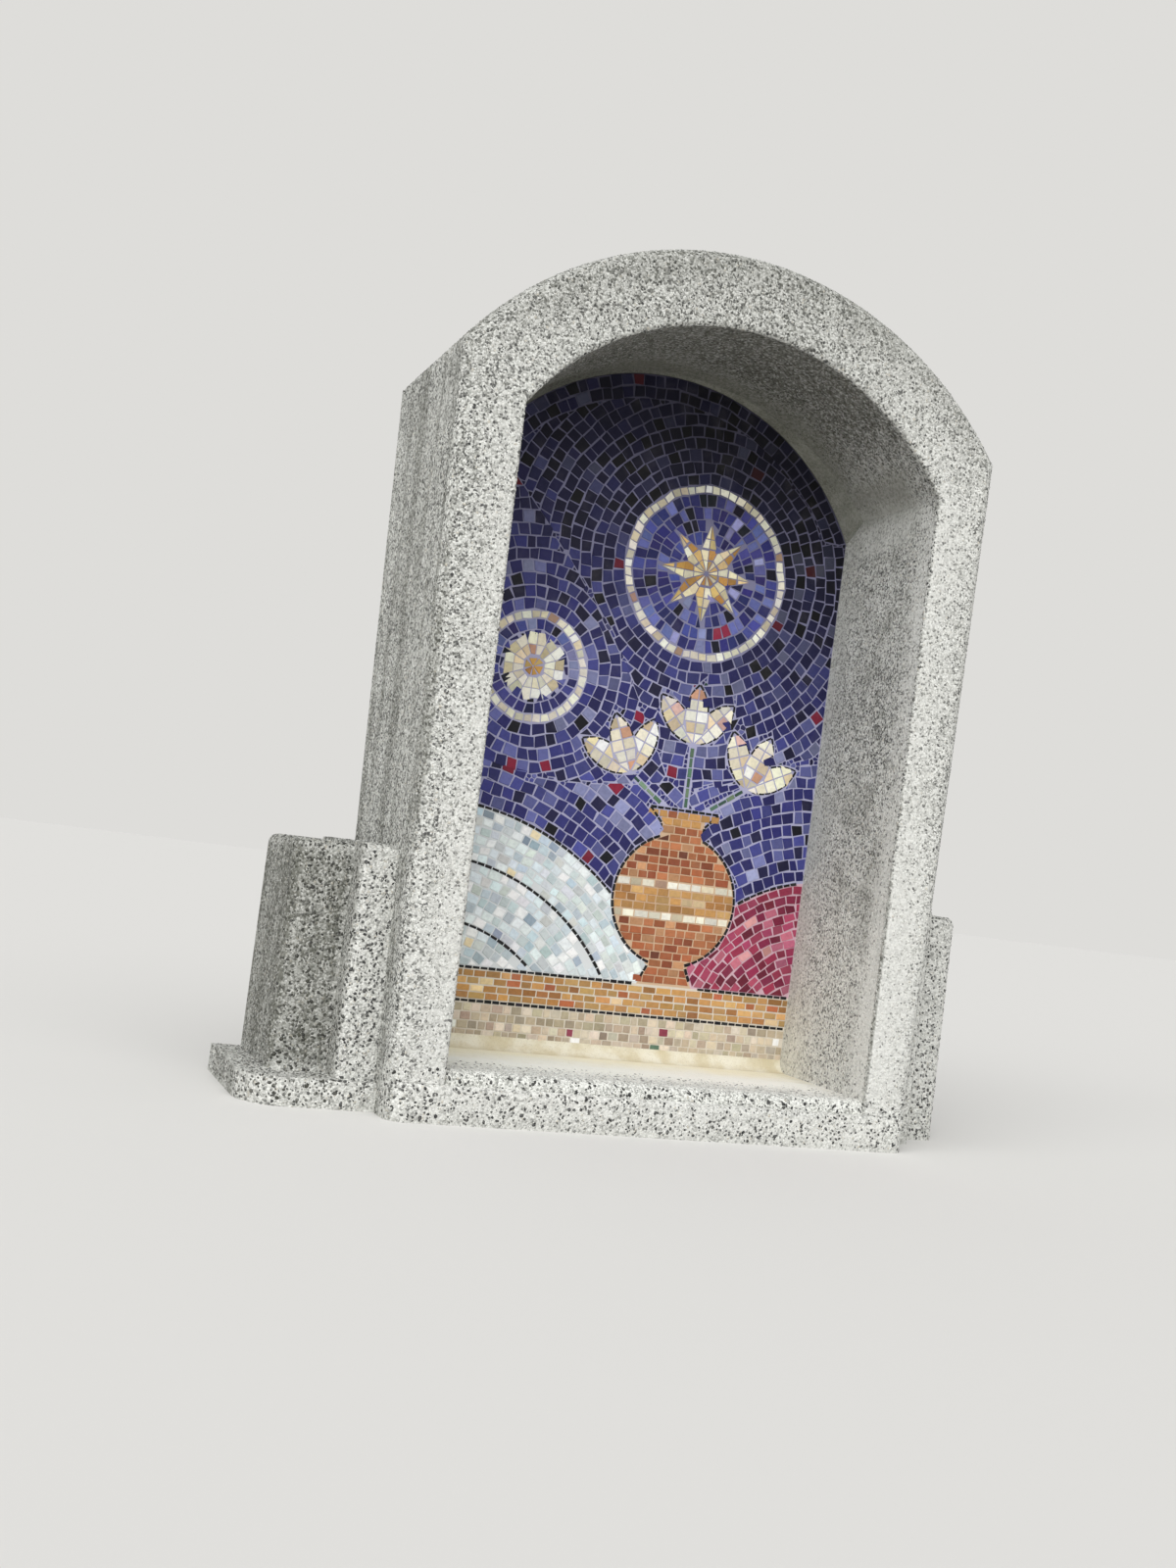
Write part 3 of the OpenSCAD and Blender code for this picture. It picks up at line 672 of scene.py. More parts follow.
def trimmed(polygon, walls):
    """The polygon cut back to where every wall's signed distance is at least its margin."""
    for wall, margin in walls:
        if len(polygon) < 3:
            return None
        values = [wall(p) for p in polygon]
        if min(values) >= margin:
            continue
        if max(values) < margin:
            return None
        mid = polygon[int(np.argmin(np.abs(np.array(values) - margin)))]
        step = 0.2 * MM
        gx = (wall((mid[0] + step, mid[1])) - wall((mid[0] - step, mid[1]))) / (2 * step)
        gz = (wall((mid[0], mid[1] + step)) - wall((mid[0], mid[1] - step))) / (2 * step)
        size = hypot(gx, gz)
        if size < 1e-6:
            return None
        gx, gz = gx / size, gz / size
        lack = margin - wall(mid)
        polygon = cut(polygon, (mid[0] + gx * lack, mid[1] + gz * lack), (gx, gz))
    return polygon if len(polygon) >= 3 else None


def wander(x, z):
    """Rows laid by eye: they drift by a millimetre or two."""
    return (x + (1.3 * sin(z * 61 + 1.7 * sin(x * 37)) + 0.8 * sin(z * 143 + x * 90)) * MM,
            z + (1.3 * sin(x * 67 + 1.9 * sin(z * 41)) + 0.8 * sin(x * 151 - z * 77)) * MM)


def drawn(rand, palette):
    """A colour drawn from a palette by weight."""
    return rand.choices(palette, [w for w, _ in palette])[0][1]


def shaded(rgb, k):
    return srgb(*[min(255, max(2, c * k)) for c in rgb])


class Course:
    """Tesserae of one area of the mosaic, gathered into one mesh; full is the area of a whole one."""

    def __init__(self, name, palette, seed, full, walls=()):
        self.name = name
        self.palette = palette
        self.walls = walls
        self.random = random.Random(SEED + seed)
        self.full = full
        self.verts, self.faces, self.tints, self.shapes = [], [], [], []

    def tint(self):
        rgb = drawn(self.random, self.palette)
        shade = 1 + self.random.uniform(-0.13, 0.13)
        return srgb(*[min(255, max(2, c * shade + self.random.uniform(-4, 4))) for c in rgb])

    def lay(self, polygon, pick=None, keep=0.22, walls=None):
        """Sets one tessera, cut to its walls, unless less than keep of a full one is left."""
        tint = pick(self, polygon) if pick else None
        shape = trimmed(polygon, self.walls if walls is None else walls)
        if shape is None:
            return
        area, (mx, mz) = area_and_middle(shape)
        if abs(area) < self.full * keep:
            return
        if area < 0:
            shape = shape[::-1]
        clean = [p for i, p in enumerate(shape) if dist(p, shape[i - 1]) > SHORTEST_SIDE]
        if len(clean) < 3:
            return
        self.shapes.append(clean)
        rand = self.random
        proud = MOSAIC_Y + rand.uniform(0.0, 0.7) * MM
        slope_x, slope_z = rand.gauss(0, TILT), rand.gauss(0, TILT)

        def depth(start, x, z):
            return start + (x - mx) * slope_x + (z - mz) * slope_z
        base, n = len(self.verts), len(clean)
        face = scaled(clean, (mx, mz), 1 - FACE_INSET / max(sqrt(abs(area)), 6 * MM))
        self.verts += [(x, depth(proud, x, z), z) for x, z in face]
        self.verts += [(x, depth(proud + ARRIS, x, z), z) for x, z in clean]
        self.verts += [(x, BED_LOW.y + 1 * MM, z) for x, z in clean]
        rims = [(k + n + i, k + n + (i + 1) % n, k + (i + 1) % n, k + i) for k in (base, base + n) for i in range(n)]
        faces = [tuple(range(base, base + n)), *rims, tuple(reversed(range(base + 2 * n, base + 3 * n)))]
        self.faces += faces
        self.tints += [tint or self.tint()] * len(faces)

    def arcs(self, cx, cz, r0, r1, size, along, walls=None, keep=0.22, pick=None, grow=0.0):
        """Rows of tesserae in circles round a centre, from radius r0 to r1."""
        rand = self.random
        rows = max(1, round(abs(r1 - r0) / (size + JOINT)))
        step = (r1 - r0) / rows
        for k in range(rows):
            inner, outer = sorted((r0 + step * k, r0 + step * (k + 1)))
            mid = (inner + outer) / 2
            length = along * (1 + grow * k)
            count = max(6, round(FULL_TURN * mid / (length + JOINT)))
            turn = rand.random() * FULL_TURN / count
            edges = [turn + FULL_TURN * (i + rand.uniform(-0.14, 0.14)) / count for i in range(count + 1)]
            edges[-1] = edges[0] + FULL_TURN
            gap = JOINT / 2 / mid
            for a, b in zip(edges, edges[1:]):
                lo = inner + JOINT / 2 + rand.uniform(-0.5, 0.7) * MM
                hi = outer - JOINT / 2 + rand.uniform(-0.7, 0.5) * MM
                a1, b1 = a + gap, b - gap
                skew = rand.uniform(-0.07, 0.07) * (b1 - a1)
                jog = [rand.uniform(-0.9, 0.7) * MM for _ in range(4)]
                corners = [(a1, lo - jog[0]), (b1, lo - jog[1]), (b1 + skew, hi + jog[2]), (a1 + skew, hi + jog[3])]
                self.lay([wander(cx + r * sin(t), cz + r * cos(t)) for t, r in corners], pick, keep, walls)
        return self

    def bricks(self, x0, x1, z0, z1, high, along, pick=None):
        """Straight courses between two heights."""
        rand = self.random
        rows = max(1, round((z1 - z0) / (high + JOINT)))
        step = (z1 - z0) / rows
        for k in range(rows):
            z = z0 + step * k
            x = x0 - rand.random() * along
            wave = rand.uniform(-0.5, 0.5) * MM
            while x < x1:
                wide = along * rand.uniform(0.75, 1.25)
                a, b = x + JOINT / 2, x + wide - JOINT / 2
                jog = [rand.uniform(-0.6, 0.6) * MM for _ in range(4)]
                foot, top = z + JOINT / 2 + wave, z + step - JOINT / 2 + wave
                self.lay([(a + jog[0], foot + jog[1]), (b, foot), (b + jog[2], top + jog[3]), (a, top)], pick)
                x += wide
        return self

    def strips(self, path, allowed, long=14 * MM, wide=STRIP):
        """Narrow tesserae end to end along a path, where allowed says so."""
        lengths = [dist(a, b) for a, b in zip(path, path[1:])]
        total = sum(lengths)
        count = max(1, round(total / long))
        marks = np.cumsum([0.0] + lengths)
        xs, zs = zip(*path)
        for i in range(count):
            s0 = total * i / count + STRIP_GAP / 2
            s1 = total * (i + 1) / count - STRIP_GAP / 2
            points = [(float(np.interp(s, marks, xs)), float(np.interp(s, marks, zs)))
                      for s in (s0, (s0 + s1) / 2, s1)]
            if not all(allowed(p) for p in points):
                continue
            half = wide / 2 * self.random.uniform(0.72, 1.15)
            left, right = [], []
            for j, p in enumerate(points):
                a, b = points[max(0, j - 1)], points[min(2, j + 1)]
                size = dist(a, b) or 1e-9
                nx, nz = -(b[1] - a[1]) / size * half, (b[0] - a[0]) / size * half
                left.append((p[0] + nx, p[1] + nz))
                right.append((p[0] - nx, p[1] - nz))
            self.lay(left + right[::-1], keep=0.0, walls=[])

    def piece(self, node, slot):
        """The finished mesh, with the tint of each tessera."""
        mesh = mesh_of(self.name, self.verts, self.faces, GLASS)
        tint = mesh.color_attributes.new("tint", "FLOAT_COLOR", "CORNER")
        counts = np.array([len(f) for f in self.faces])
        colours = np.repeat(np.array([(*t, 1.0) for t in self.tints], dtype=np.float32), counts, axis=0)
        tint.data.foreach_set("color", colours.ravel())
        mesh.update()
        set_in_place(self.name, mesh, node)


# Palettes: each colour with its weight
BLUES = [(26, (44, 43, 104)), (24, (56, 57, 126)), (16, (74, 77, 148)), (8, (104, 108, 168)), (8, (31, 30, 66)),
         (3, (18, 18, 28)), (3, (146, 150, 192)), (2.0, (146, 34, 62)), (0.5, (40, 76, 62))]
# darker blues for the painted shade high under the arch
SHADED_BLUES = [(30, (30, 27, 76)), (24, (42, 39, 98)), (14, (24, 22, 54)), (8, (13, 12, 26)), (9, (60, 58, 118)),
              (3, (90, 91, 146)), (1.5, (132, 28, 50))]
HALO_BLUES = [(24, (48, 48, 110)), (22, (70, 74, 144)), (16, (104, 110, 172)), (12, (34, 34, 82)),
              (6, (146, 150, 196)), (5, (20, 20, 36)), (1.6, (140, 40, 66))]
LILACS = [(20, (118, 122, 172)), (20, (140, 144, 188)), (12, (160, 165, 202)), (10, (92, 95, 152))]
CREAMS = [(30, (234, 228, 208)), (20, (244, 240, 226)), (12, (216, 204, 176)), (3, (170, 140, 120))]
GOLDS = [(20, (214, 180, 116)), (20, (194, 148, 80)), (10, (228, 204, 152))]
LIGHTS = [(30, (236, 222, 186)), (14, (246, 238, 212))]
WHITES = [(26, (224, 234, 237)), (24, (237, 242, 241)), (14, (210, 224, 229)), (7, (192, 208, 217)),
          (1.6, (150, 164, 178)), (1.2, (228, 212, 176))]
LILY_WHITES = [(26, (238, 230, 206)), (20, (246, 242, 228)), (14, (226, 208, 172)), (3, (208, 160, 130)),
               (2, (214, 178, 168))]
REDS = [(26, (146, 48, 78)), (20, (166, 70, 98)), (14, (120, 36, 60)), (8, (188, 106, 126)), (4, (206, 148, 148))]
CLAYS = [(26, (164, 96, 62)), (22, (182, 116, 78)), (16, (144, 78, 52)), (8, (196, 146, 106)), (3, (100, 58, 44))]
OCHRES = [(26, (188, 142, 86)), (20, (200, 160, 104)), (14, (168, 120, 70)), (6, (172, 102, 68)), (3, (222, 196, 154))]
BEIGES = [(28, (200, 186, 164)), (22, (186, 170, 148)), (16, (212, 201, 183)), (6, (166, 149, 130)),
          (2, (236, 236, 232)), (1, (96, 122, 102)), (1, (150, 70, 90))]
BLACKS = [(30, (22, 22, 24)), (10, (36, 36, 40)), (4, (14, 14, 16))]
GREENS = [(20, (86, 116, 92)), (14, (64, 92, 76)), (10, (118, 142, 116))]


def sky_blue(course, polygon):
    """Blues darkened as painted shade high under the arch and towards the right, lilac patches in between."""
    x, z = polygon[0]
    rand = course.random
    # painted shade: darker blues high under the arch, and a painted shadow towards the upper right
    shade_above = rise(z, 0.80, 1.16)
    patchy = sin(x * 23 + 2.1 * sin(z * 17)) * sin(z * 29 + 1.3)
    palette = SHADED_BLUES if rand.random() < shade_above else BLUES
    if rand.random() < 0.75 * max(0.0, patchy - 0.45):
        palette = LILACS
    rgb = drawn(rand, palette)
    shadow = 0.46 * rise(x, -0.25, 0.25) * rise(z, 0.56, 1.0)
    return shaded(rgb, (1 + rand.uniform(-0.14, 0.14)) * (1 - 0.40 * shade_above) * (1 - shadow) * 0.95)


def sky():
    """The blue ground, laid in rows that run round the two rings, the hills and the arch."""
    course = Course("sky_tesserae", BLUES, 0, SQUARE * SQUARE)
    walls = [(ball(*LARGE_RING), JOINT / 2), (ball(*SMALL_RING), JOINT / 2), (in_pale, EDGE), (in_red, EDGE),
             (in_urn, EDGE), (in_petals, EDGE), (in_stems, JOINT), (in_upper, EDGE), INSIDE_PANEL]
    # each guide circle's rows fill the ground that is nearest to it; the hills' rows give way a little
    guides = [(LARGE_RING, 0.0), (SMALL_RING, 0.0), ((*PALE_HILL[:2], PALE_HILL[2] + EDGE), 0.012),
              ((*RED_HILL[:2], RED_HILL[2] + EDGE), 0.012)]
    away = [lambda p, edge=ball(*circle), extra=extra: edge(p) + extra for circle, extra in guides]
    border = 2 * (SQUARE + JOINT)
    arch = lambda p: MOSAIC_R - hypot(p[0], p[1] - MOSAIC_ARC_Z) if p[1] > MOSAIC_SPRING else 1.0
    for ((gx, gz, gr), _), mine in zip(guides, away):
        own = [(lambda p, mine=mine, other=other: other(p) - mine(p), 0.6 * JOINT)
               for other in away if other is not mine]
        course.arcs(gx, gz, gr, gr + 46 * (SQUARE + JOINT), SQUARE, SQUARE,
                    walls + own + [(arch, border + JOINT / 2)], pick=sky_blue)
    # two rows that follow the arch itself
    top = [(ball(*LARGE_RING), JOINT / 2), (above(MOSAIC_SPRING), 0.0), INSIDE_PANEL]
    course.arcs(0, MOSAIC_ARC_Z, MOSAIC_R, MOSAIC_R - border, SQUARE, SQUARE, top, pick=sky_blue)
    fill_gaps(course, walls, sky_blue)
    # the grounds inside the rings
    course.palette = HALO_BLUES
    course.full = 12 * MM * 20 * MM
    for (cx, cz, r), start, shape, size, keep, grow in ((LARGE_RING, 30 * MM, in_star, 21 * MM, 0.12, 0.12),
                                                        (SMALL_RING, 24 * MM, in_rosette, 19 * MM, 0.1, 0.2)):
        ground = [(outside(ball(cx, cz, r - RING_W)), JOINT / 2), (shape, 1.2 * MM), INSIDE_PANEL]
        course.arcs(cx, cz, start, r - RING_W, size, 10 * MM, ground, keep, grow=grow)
    course.piece("mosaic_sky", "blue_tile")


def hull(points):
    """Convex outline of a set of points, anticlockwise."""
    points = sorted(map(tuple, points))
    outline = []
    for run in (points, points[::-1]):
        line = []
        for p in run:
            while len(line) > 1 and ((line[-1][0] - line[-2][0]) * (p[1] - line[-2][1])
                                     - (line[-1][1] - line[-2][1]) * (p[0] - line[-2][0])) <= 0.25 * MM * MM:
                line.pop()
            line.append(p)
        outline += line[:-1]
    return outline


# cut pieces: the distance between their middles, their least area in square millimetres, and how much of
# its convex outline a piece has to fill
FILLER_APART = 11 * MM
FEWEST_SPOTS = 22
FULLNESS = 0.72


def fill_gaps(course, walls, pick):
    """Small cut tesserae in the wedges that the rows leave open."""
    # a grid of spots that no tessera covers
    step = 1 * MM
    low = np.array([-MOSAIC_HALF, UPPER_STEP_Z])
    size = ((MOSAIC_HALF * 2) / step, (MOSAIC_TOP - UPPER_STEP_Z) / step)
    xs, zs = (low[k] + (np.arange(int(size[k])) + 0.5) * step for k in range(2))
    free = np.ones((len(xs), len(zs)), bool)
    for shape in course.shapes:
        corners = np.array(shape)
        i0, j0 = np.maximum(0, ((corners.min(0) - low - JOINT) / step).astype(int))
        i1, j1 = ((corners.max(0) - low + JOINT) / step).astype(int) + 1
        gx, gz = np.meshgrid(xs[i0:i1], zs[j0:j1], indexing="ij")
        near = np.ones(gx.shape, bool)
        for a, b in sides(shape):
            side = ((b[0] - a[0]) * (gz - a[1]) - (b[1] - a[1]) * (gx - a[0])) / dist(a, b)
            near &= side > -0.7 * JOINT
        free[i0:i1, j0:j1] &= ~near
    spots = [(xs[i], zs[j]) for i, j in np.argwhere(free)]
    spots = np.array([p for p in spots if all(wall(p) >= margin for wall, margin in walls)])
    # gathered round seeds, each of which moves to the middle of its spots
    seeds = spots[:1]
    for p in spots:
        if np.abs(seeds - p).max(1).min() > FILLER_APART:
            seeds = np.vstack([seeds, p])
    nearest = lambda: np.argmin((seeds ** 2).sum(1) - 2 * spots @ seeds.T, axis=1)
    for _ in range(5):
        owner = nearest()
        seeds = np.array([spots[owner == k].mean(0) for k in range(len(seeds)) if (owner == k).any()])
    owner = nearest()
    for k in range(len(seeds)):
        mine = spots[owner == k]
        if len(mine) < FEWEST_SPOTS:
            continue
        outline = hull(mine)
        area, middle = area_and_middle(outline)
        if len(outline) < 3 or len(mine) * step * step < FULLNESS * abs(area):
            continue
        course.lay(scaled(outline, middle, 1 - 0.6 * MM / sqrt(abs(area) / pi)), pick, 0.0, [])


def ring(name, node, circle, seed):
    cx, cz, r = circle
    course = Course(name, CREAMS, seed, 14 * MM * 15 * MM, [INSIDE_PANEL])
    course.arcs(cx, cz, r - RING_W, r, RING_W - JOINT, 14 * MM).piece(node, "cream_tile")


def star():
    """Each point is laid in two halves, one light and one golden, cut across into pieces."""
    course = Course("star_tesserae", GOLDS, 3, 100 * MM * MM)
    # where the pieces of a point meet, in millimetres from the middle
    cuts = [0, 24, 44, 62, STAR_R / MM + 2]
    for i, (start, end) in enumerate(sides(STAR)):
        course.palette = LIGHTS if i % 2 else GOLDS
        tip = end if i % 2 else start
        half = [(RING_X, RING_Z), start, end]
        ux, uz = (tip[0] - RING_X) / STAR_R, (tip[1] - RING_Z) / STAR_R
        # the halves keep a narrow joint on every side
        gx, gz = area_and_middle(half)[1]
        for a, b in sides(half):
            nx, nz = -(b[1] - a[1]), b[0] - a[0]
            size = hypot(nx, nz) * (1 if (gx - a[0]) * nx + (gz - a[1]) * nz > 0 else -1)
            nx, nz = nx / size, nz / size
            half = cut(half, (a[0] + nx * 0.8 * MM, a[1] + nz * 0.8 * MM), (nx, nz))
        for r0, r1 in zip(cuts, cuts[1:]):
            wobble = course.random.uniform(-2, 2) * MM
            piece = half
            for r, way in ((r0 * MM + (wobble if r0 else 0) + JOINT / 2, 1), (r1 * MM + wobble - JOINT / 2, -1)):
                piece = cut(piece, (RING_X + ux * r, RING_Z + uz * r), (way * ux, way * uz))
            course.lay(piece, keep=0.12, walls=[])
    course.piece("mosaic_star", "ochre_tile")


def rosette():
    """Round petals, each of four pieces, about a golden heart."""
    heart = ball(SMALL_X, SMALL_Z, HEART_R)
    course = Course("rosette_tesserae", GOLDS, 4, 90 * MM * MM)
    course.arcs(SMALL_X, SMALL_Z, 0.5 * MM, HEART_R, PETAL_R, 12 * MM, [(outside(heart), 0.6 * MM)], 0.1)
    course.palette = LILY_WHITES
    for a, (cx, cz) in zip(PETAL_ANGLES, PETAL_CENTRES):
        walls = [(outside(ball(cx, cz, PETAL_R)), 0.4 * MM), (heart, 1.2 * MM)]
        for sign in (1, -1):
            # the wedge that belongs to this petal
            t = a + sign * pi / PETALS
            nx, nz = sign * sin(t), -sign * cos(t)
            walls.append(((lambda p, nx=nx, nz=nz: (p[0] - SMALL_X) * nx + (p[1] - SMALL_Z) * nz), 0.8 * MM))
        # each quarter of the petal is cut from a block a little larger than it
        ux, uz = cos(a) * PETAL_R * 1.3, sin(a) * PETAL_R * 1.3
        for sign in (1, -1):
            for way in (1, -1):
                fx, fz, sx, sz = way * ux, way * uz, sign * -uz, sign * ux
                block = [(cx, cz), (cx + fx, cz + fz), (cx + fx + sx, cz + fz + sz), (cx + sx, cz + sz)]
                course.lay(scaled(block, area_and_middle(block)[1], 0.95), None, 0.06, walls)
    course.piece("mosaic_rosette", "cream_tile")


def hills():
    """Rows that run round each hill, with two dark furrows left open in the pale one."""
    cx, cz, r = PALE_HILL
    walls = [(outside(in_pale), EDGE), (in_upper, EDGE), (in_urn, EDGE), INSIDE_PANEL]
    walls += [(lambda p, line=ball(cx, cz, reach): abs(line(p)), EDGE - 1 * MM) for reach in FURROWS]
    pale = Course("pale_hill_tesserae", WHITES, 5, 14 * MM * 16 * MM, walls)
    edges = [r - EDGE] + FURROWS + [r * 0.36]
    for outer, inner in zip(edges, edges[1:]):
        pale.arcs(cx, cz, outer, inner, 14 * MM, 16 * MM)
    pale.piece("mosaic_pale_hill", "white_tile")
    cx, cz, r = RED_HILL
    walls = [(outside(in_red), EDGE), (in_upper, EDGE), (in_urn, EDGE), (in_pale, EDGE), INSIDE_PANEL]
    red = Course("red_hill_tesserae", REDS, 6, 13 * MM * 20 * MM, walls)
    red.arcs(cx, cz, r - EDGE, 0.03, 13 * MM, 20 * MM).piece("mosaic_red_hill", "red_tile")


def urn_clay(course, polygon):
    """Ochre round the belly and at the lip, cream beside the ochre, clay elsewhere."""
    z = sum(p[1] for p in polygon) / len(polygon)
    height = (z - URN_BELLY_Z) / URN_R
    palette = CLAYS
    if -0.16 < height < 0.16 or z > URN_LIP_Z - 16 * MM:
        palette = OCHRES
    if 0.16 <= height < 0.30 or -0.30 < height <= -0.16:
        palette = CREAMS
    rgb = drawn(course.random, palette)
    return shaded(rgb, 1 + course.random.uniform(-0.12, 0.12))


def urn():
    course = Course("urn_tesserae", CLAYS, 7, 12 * MM * 22 * MM, [(outside(in_urn), EDGE)])
    course.bricks(URN_X - 0.12, URN_X + 0.12, UPPER_STEP_Z + EDGE, URN_LIP_Z + 11 * MM,
                  11.4 * MM, 22 * MM, urn_clay).piece("mosaic_urn", "terracotta_tile")


def lilies():
    """Petals in two columns of tesserae each, on thin green stems."""
    course = Course("lily_tesserae", LILY_WHITES, 8, 15 * MM * 20 * MM)
    for n, (shape, _, stand) in enumerate(LILY_PETALS):
        walls = [(outside(shape), 1.3 * MM)]
        if n % 3 != 1:
            walls.append((LILY_PETALS[n // 3 * 3 + 1][0], 1.8 * MM))
        for side in (-1, 1):
            for row in range(5):
                a, b = row * 20 * MM + JOINT / 2, (row + 1) * 20 * MM - JOINT / 2
                inner, outer = side * JOINT / 2, side * 24 * MM
                course.lay(turned([(inner, a), (outer, a), (outer, b), (inner, b)], *stand), None, 0.07, walls)
    course.palette = GREENS
    course.full = STEM_W * 20 * MM
    for stem in STEMS:
        path = [((a[0] + b[0]) / 2, (a[1] + b[1]) / 2) for a, b in (stem[:2], stem[2:])]
        course.strips(path, lambda p: in_urn(p) > 2 * MM and in_petals(p) > 1 * MM, 19 * MM, STEM_W - 1 * MM)
    course.piece("mosaic_lilies", "white_tile")


def steps():
    walls = [(outside(in_upper), EDGE), (in_lower, EDGE), INSIDE_PANEL]
    upper = Course("upper_step_tesserae", OCHRES, 9, 12 * MM * 24 * MM, walls)
    upper.bricks(-0.38, 0.38, LOWER_STEP_Z + EDGE, UPPER_STEP_Z - EDGE, 11 * MM, 24 * MM)
    upper.piece("mosaic_upper_step", "ochre_tile")
    lower = Course("lower_step_tesserae", BEIGES, 10, 14 * MM * 18 * MM, [(outside(in_lower), EDGE), INSIDE_PANEL])
    lower.bricks(-0.38, 0.38, SILL_Z + 1 * MM, LOWER_STEP_Z - EDGE, 13 * MM, 17 * MM)
    lower.piece("mosaic_lower_step", "beige_tile")


def outlines():
    """Thin black strips that part the areas of the design."""
    course = Course("outline_tesserae", BLACKS, 11, 1e-9)

    def clear(*shapes):
        return lambda p: panel(p) < -STRIP / 2 and all(shape(p) > EDGE for shape in shapes)
    for circle in (PALE_HILL, *[(*PALE_HILL[:2], r) for r in FURROWS]):
        course.strips(circle_path(*circle), clear(in_upper, in_urn))
    course.strips(circle_path(*RED_HILL), clear(in_upper, in_urn, in_pale))
    edge_of_urn = lambda p: panel(p) < -STRIP / 2 and abs(in_urn(p)) < 0.6 * MM and p[1] > UPPER_STEP_Z + EDGE
    course.strips(circle_path(*URN_BELLY), edge_of_urn)
    for a, b in sum(map(sides, URN_SHAPES), []):
        course.strips(line_path(a, b, max(2, int(dist(a, b) / (3 * MM)))), edge_of_urn)
    for level, shapes in ((UPPER_STEP_Z, [in_urn]), (LOWER_STEP_Z, [])):
        course.strips(line_path((-0.40, level), (0.40, level), 200), clear(*shapes))
    for n, (_, outline, _) in enumerate(LILY_PETALS):
        others = [petal[0] for i, petal in enumerate(LILY_PETALS) if i != n and i // 3 == n // 3]
        course.strips(outline + outline[:1], lambda p: all(s(p) > -1.5 * MM for s in others) and in_stems(p) > 1 * MM,
                      13 * MM, 3.6 * MM)
    course.piece(None, "blue_tile")


def grout():
    """The joint mortar, which fills the joints to just behind the face of the tesserae."""
    half = asin(MOSAIC_HALF / MOSAIC_R)
    path = [(-FOOT_HALF, SILL_Z), (FOOT_HALF, SILL_Z), (SPRING_HALF - 1 * MM, MOSAIC_SPRING)]
    path += [(MOSAIC_R * sin(t), MOSAIC_ARC_Z + MOSAIC_R * cos(t)) for t in np.linspace(half, -half, 60)]
    path += [(-SPRING_HALF + 1 * MM, MOSAIC_SPRING)]
    n = len(path)
    verts = [(x, y, z) for y in (MOSAIC_Y + 1.5 * MM, BED_HIGH.y) for x, z in path]
    faces = [tuple(range(n)), tuple(reversed(range(n, 2 * n)))]
    faces += [(i, n + i, n + (i + 1) % n, (i + 1) % n) for i in range(n)]
    set_in_place("joint_grout", mesh_of("joint_grout", verts, faces, GROUT), "mosaic_bed")


# Washed stones of the render

MASONRY = ["base_slab", "base_left_return", "left_jamb", "right_jamb", "arch_left_haunch", "arch_crown",
           "arch_right_haunch", "back_wall", "left_inner_wing", "left_outer_wing", "right_inner_wing",
           "right_outer_wing"]
# how far a stone stands out, and how far out of the wall its place has to be free
STAND = 1.6 * MM
FREE = 1.5 * MM
SURFACE = {node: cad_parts[node] for node in MASONRY + ["sill"]}


def stone_seed():
    """One washed stone: a low dome on six corners, about one unit across."""
    ring = [(0.50, 0.02), (0.27, 0.41), (-0.20, 0.47), (-0.52, 0.05), (-0.24, -0.40), (0.30, -0.45)]
    verts = [(a, b, -0.12) for a, b in ring] + [(0.05, -0.03, 0.5)]
    faces = [(i, (i + 1) % 6, 6) for i in range(6)] + [(5, 4, 3, 2, 1, 0)]
    return bpy.data.objects.new("stone_seed", mesh_of("stone_seed", verts, faces))


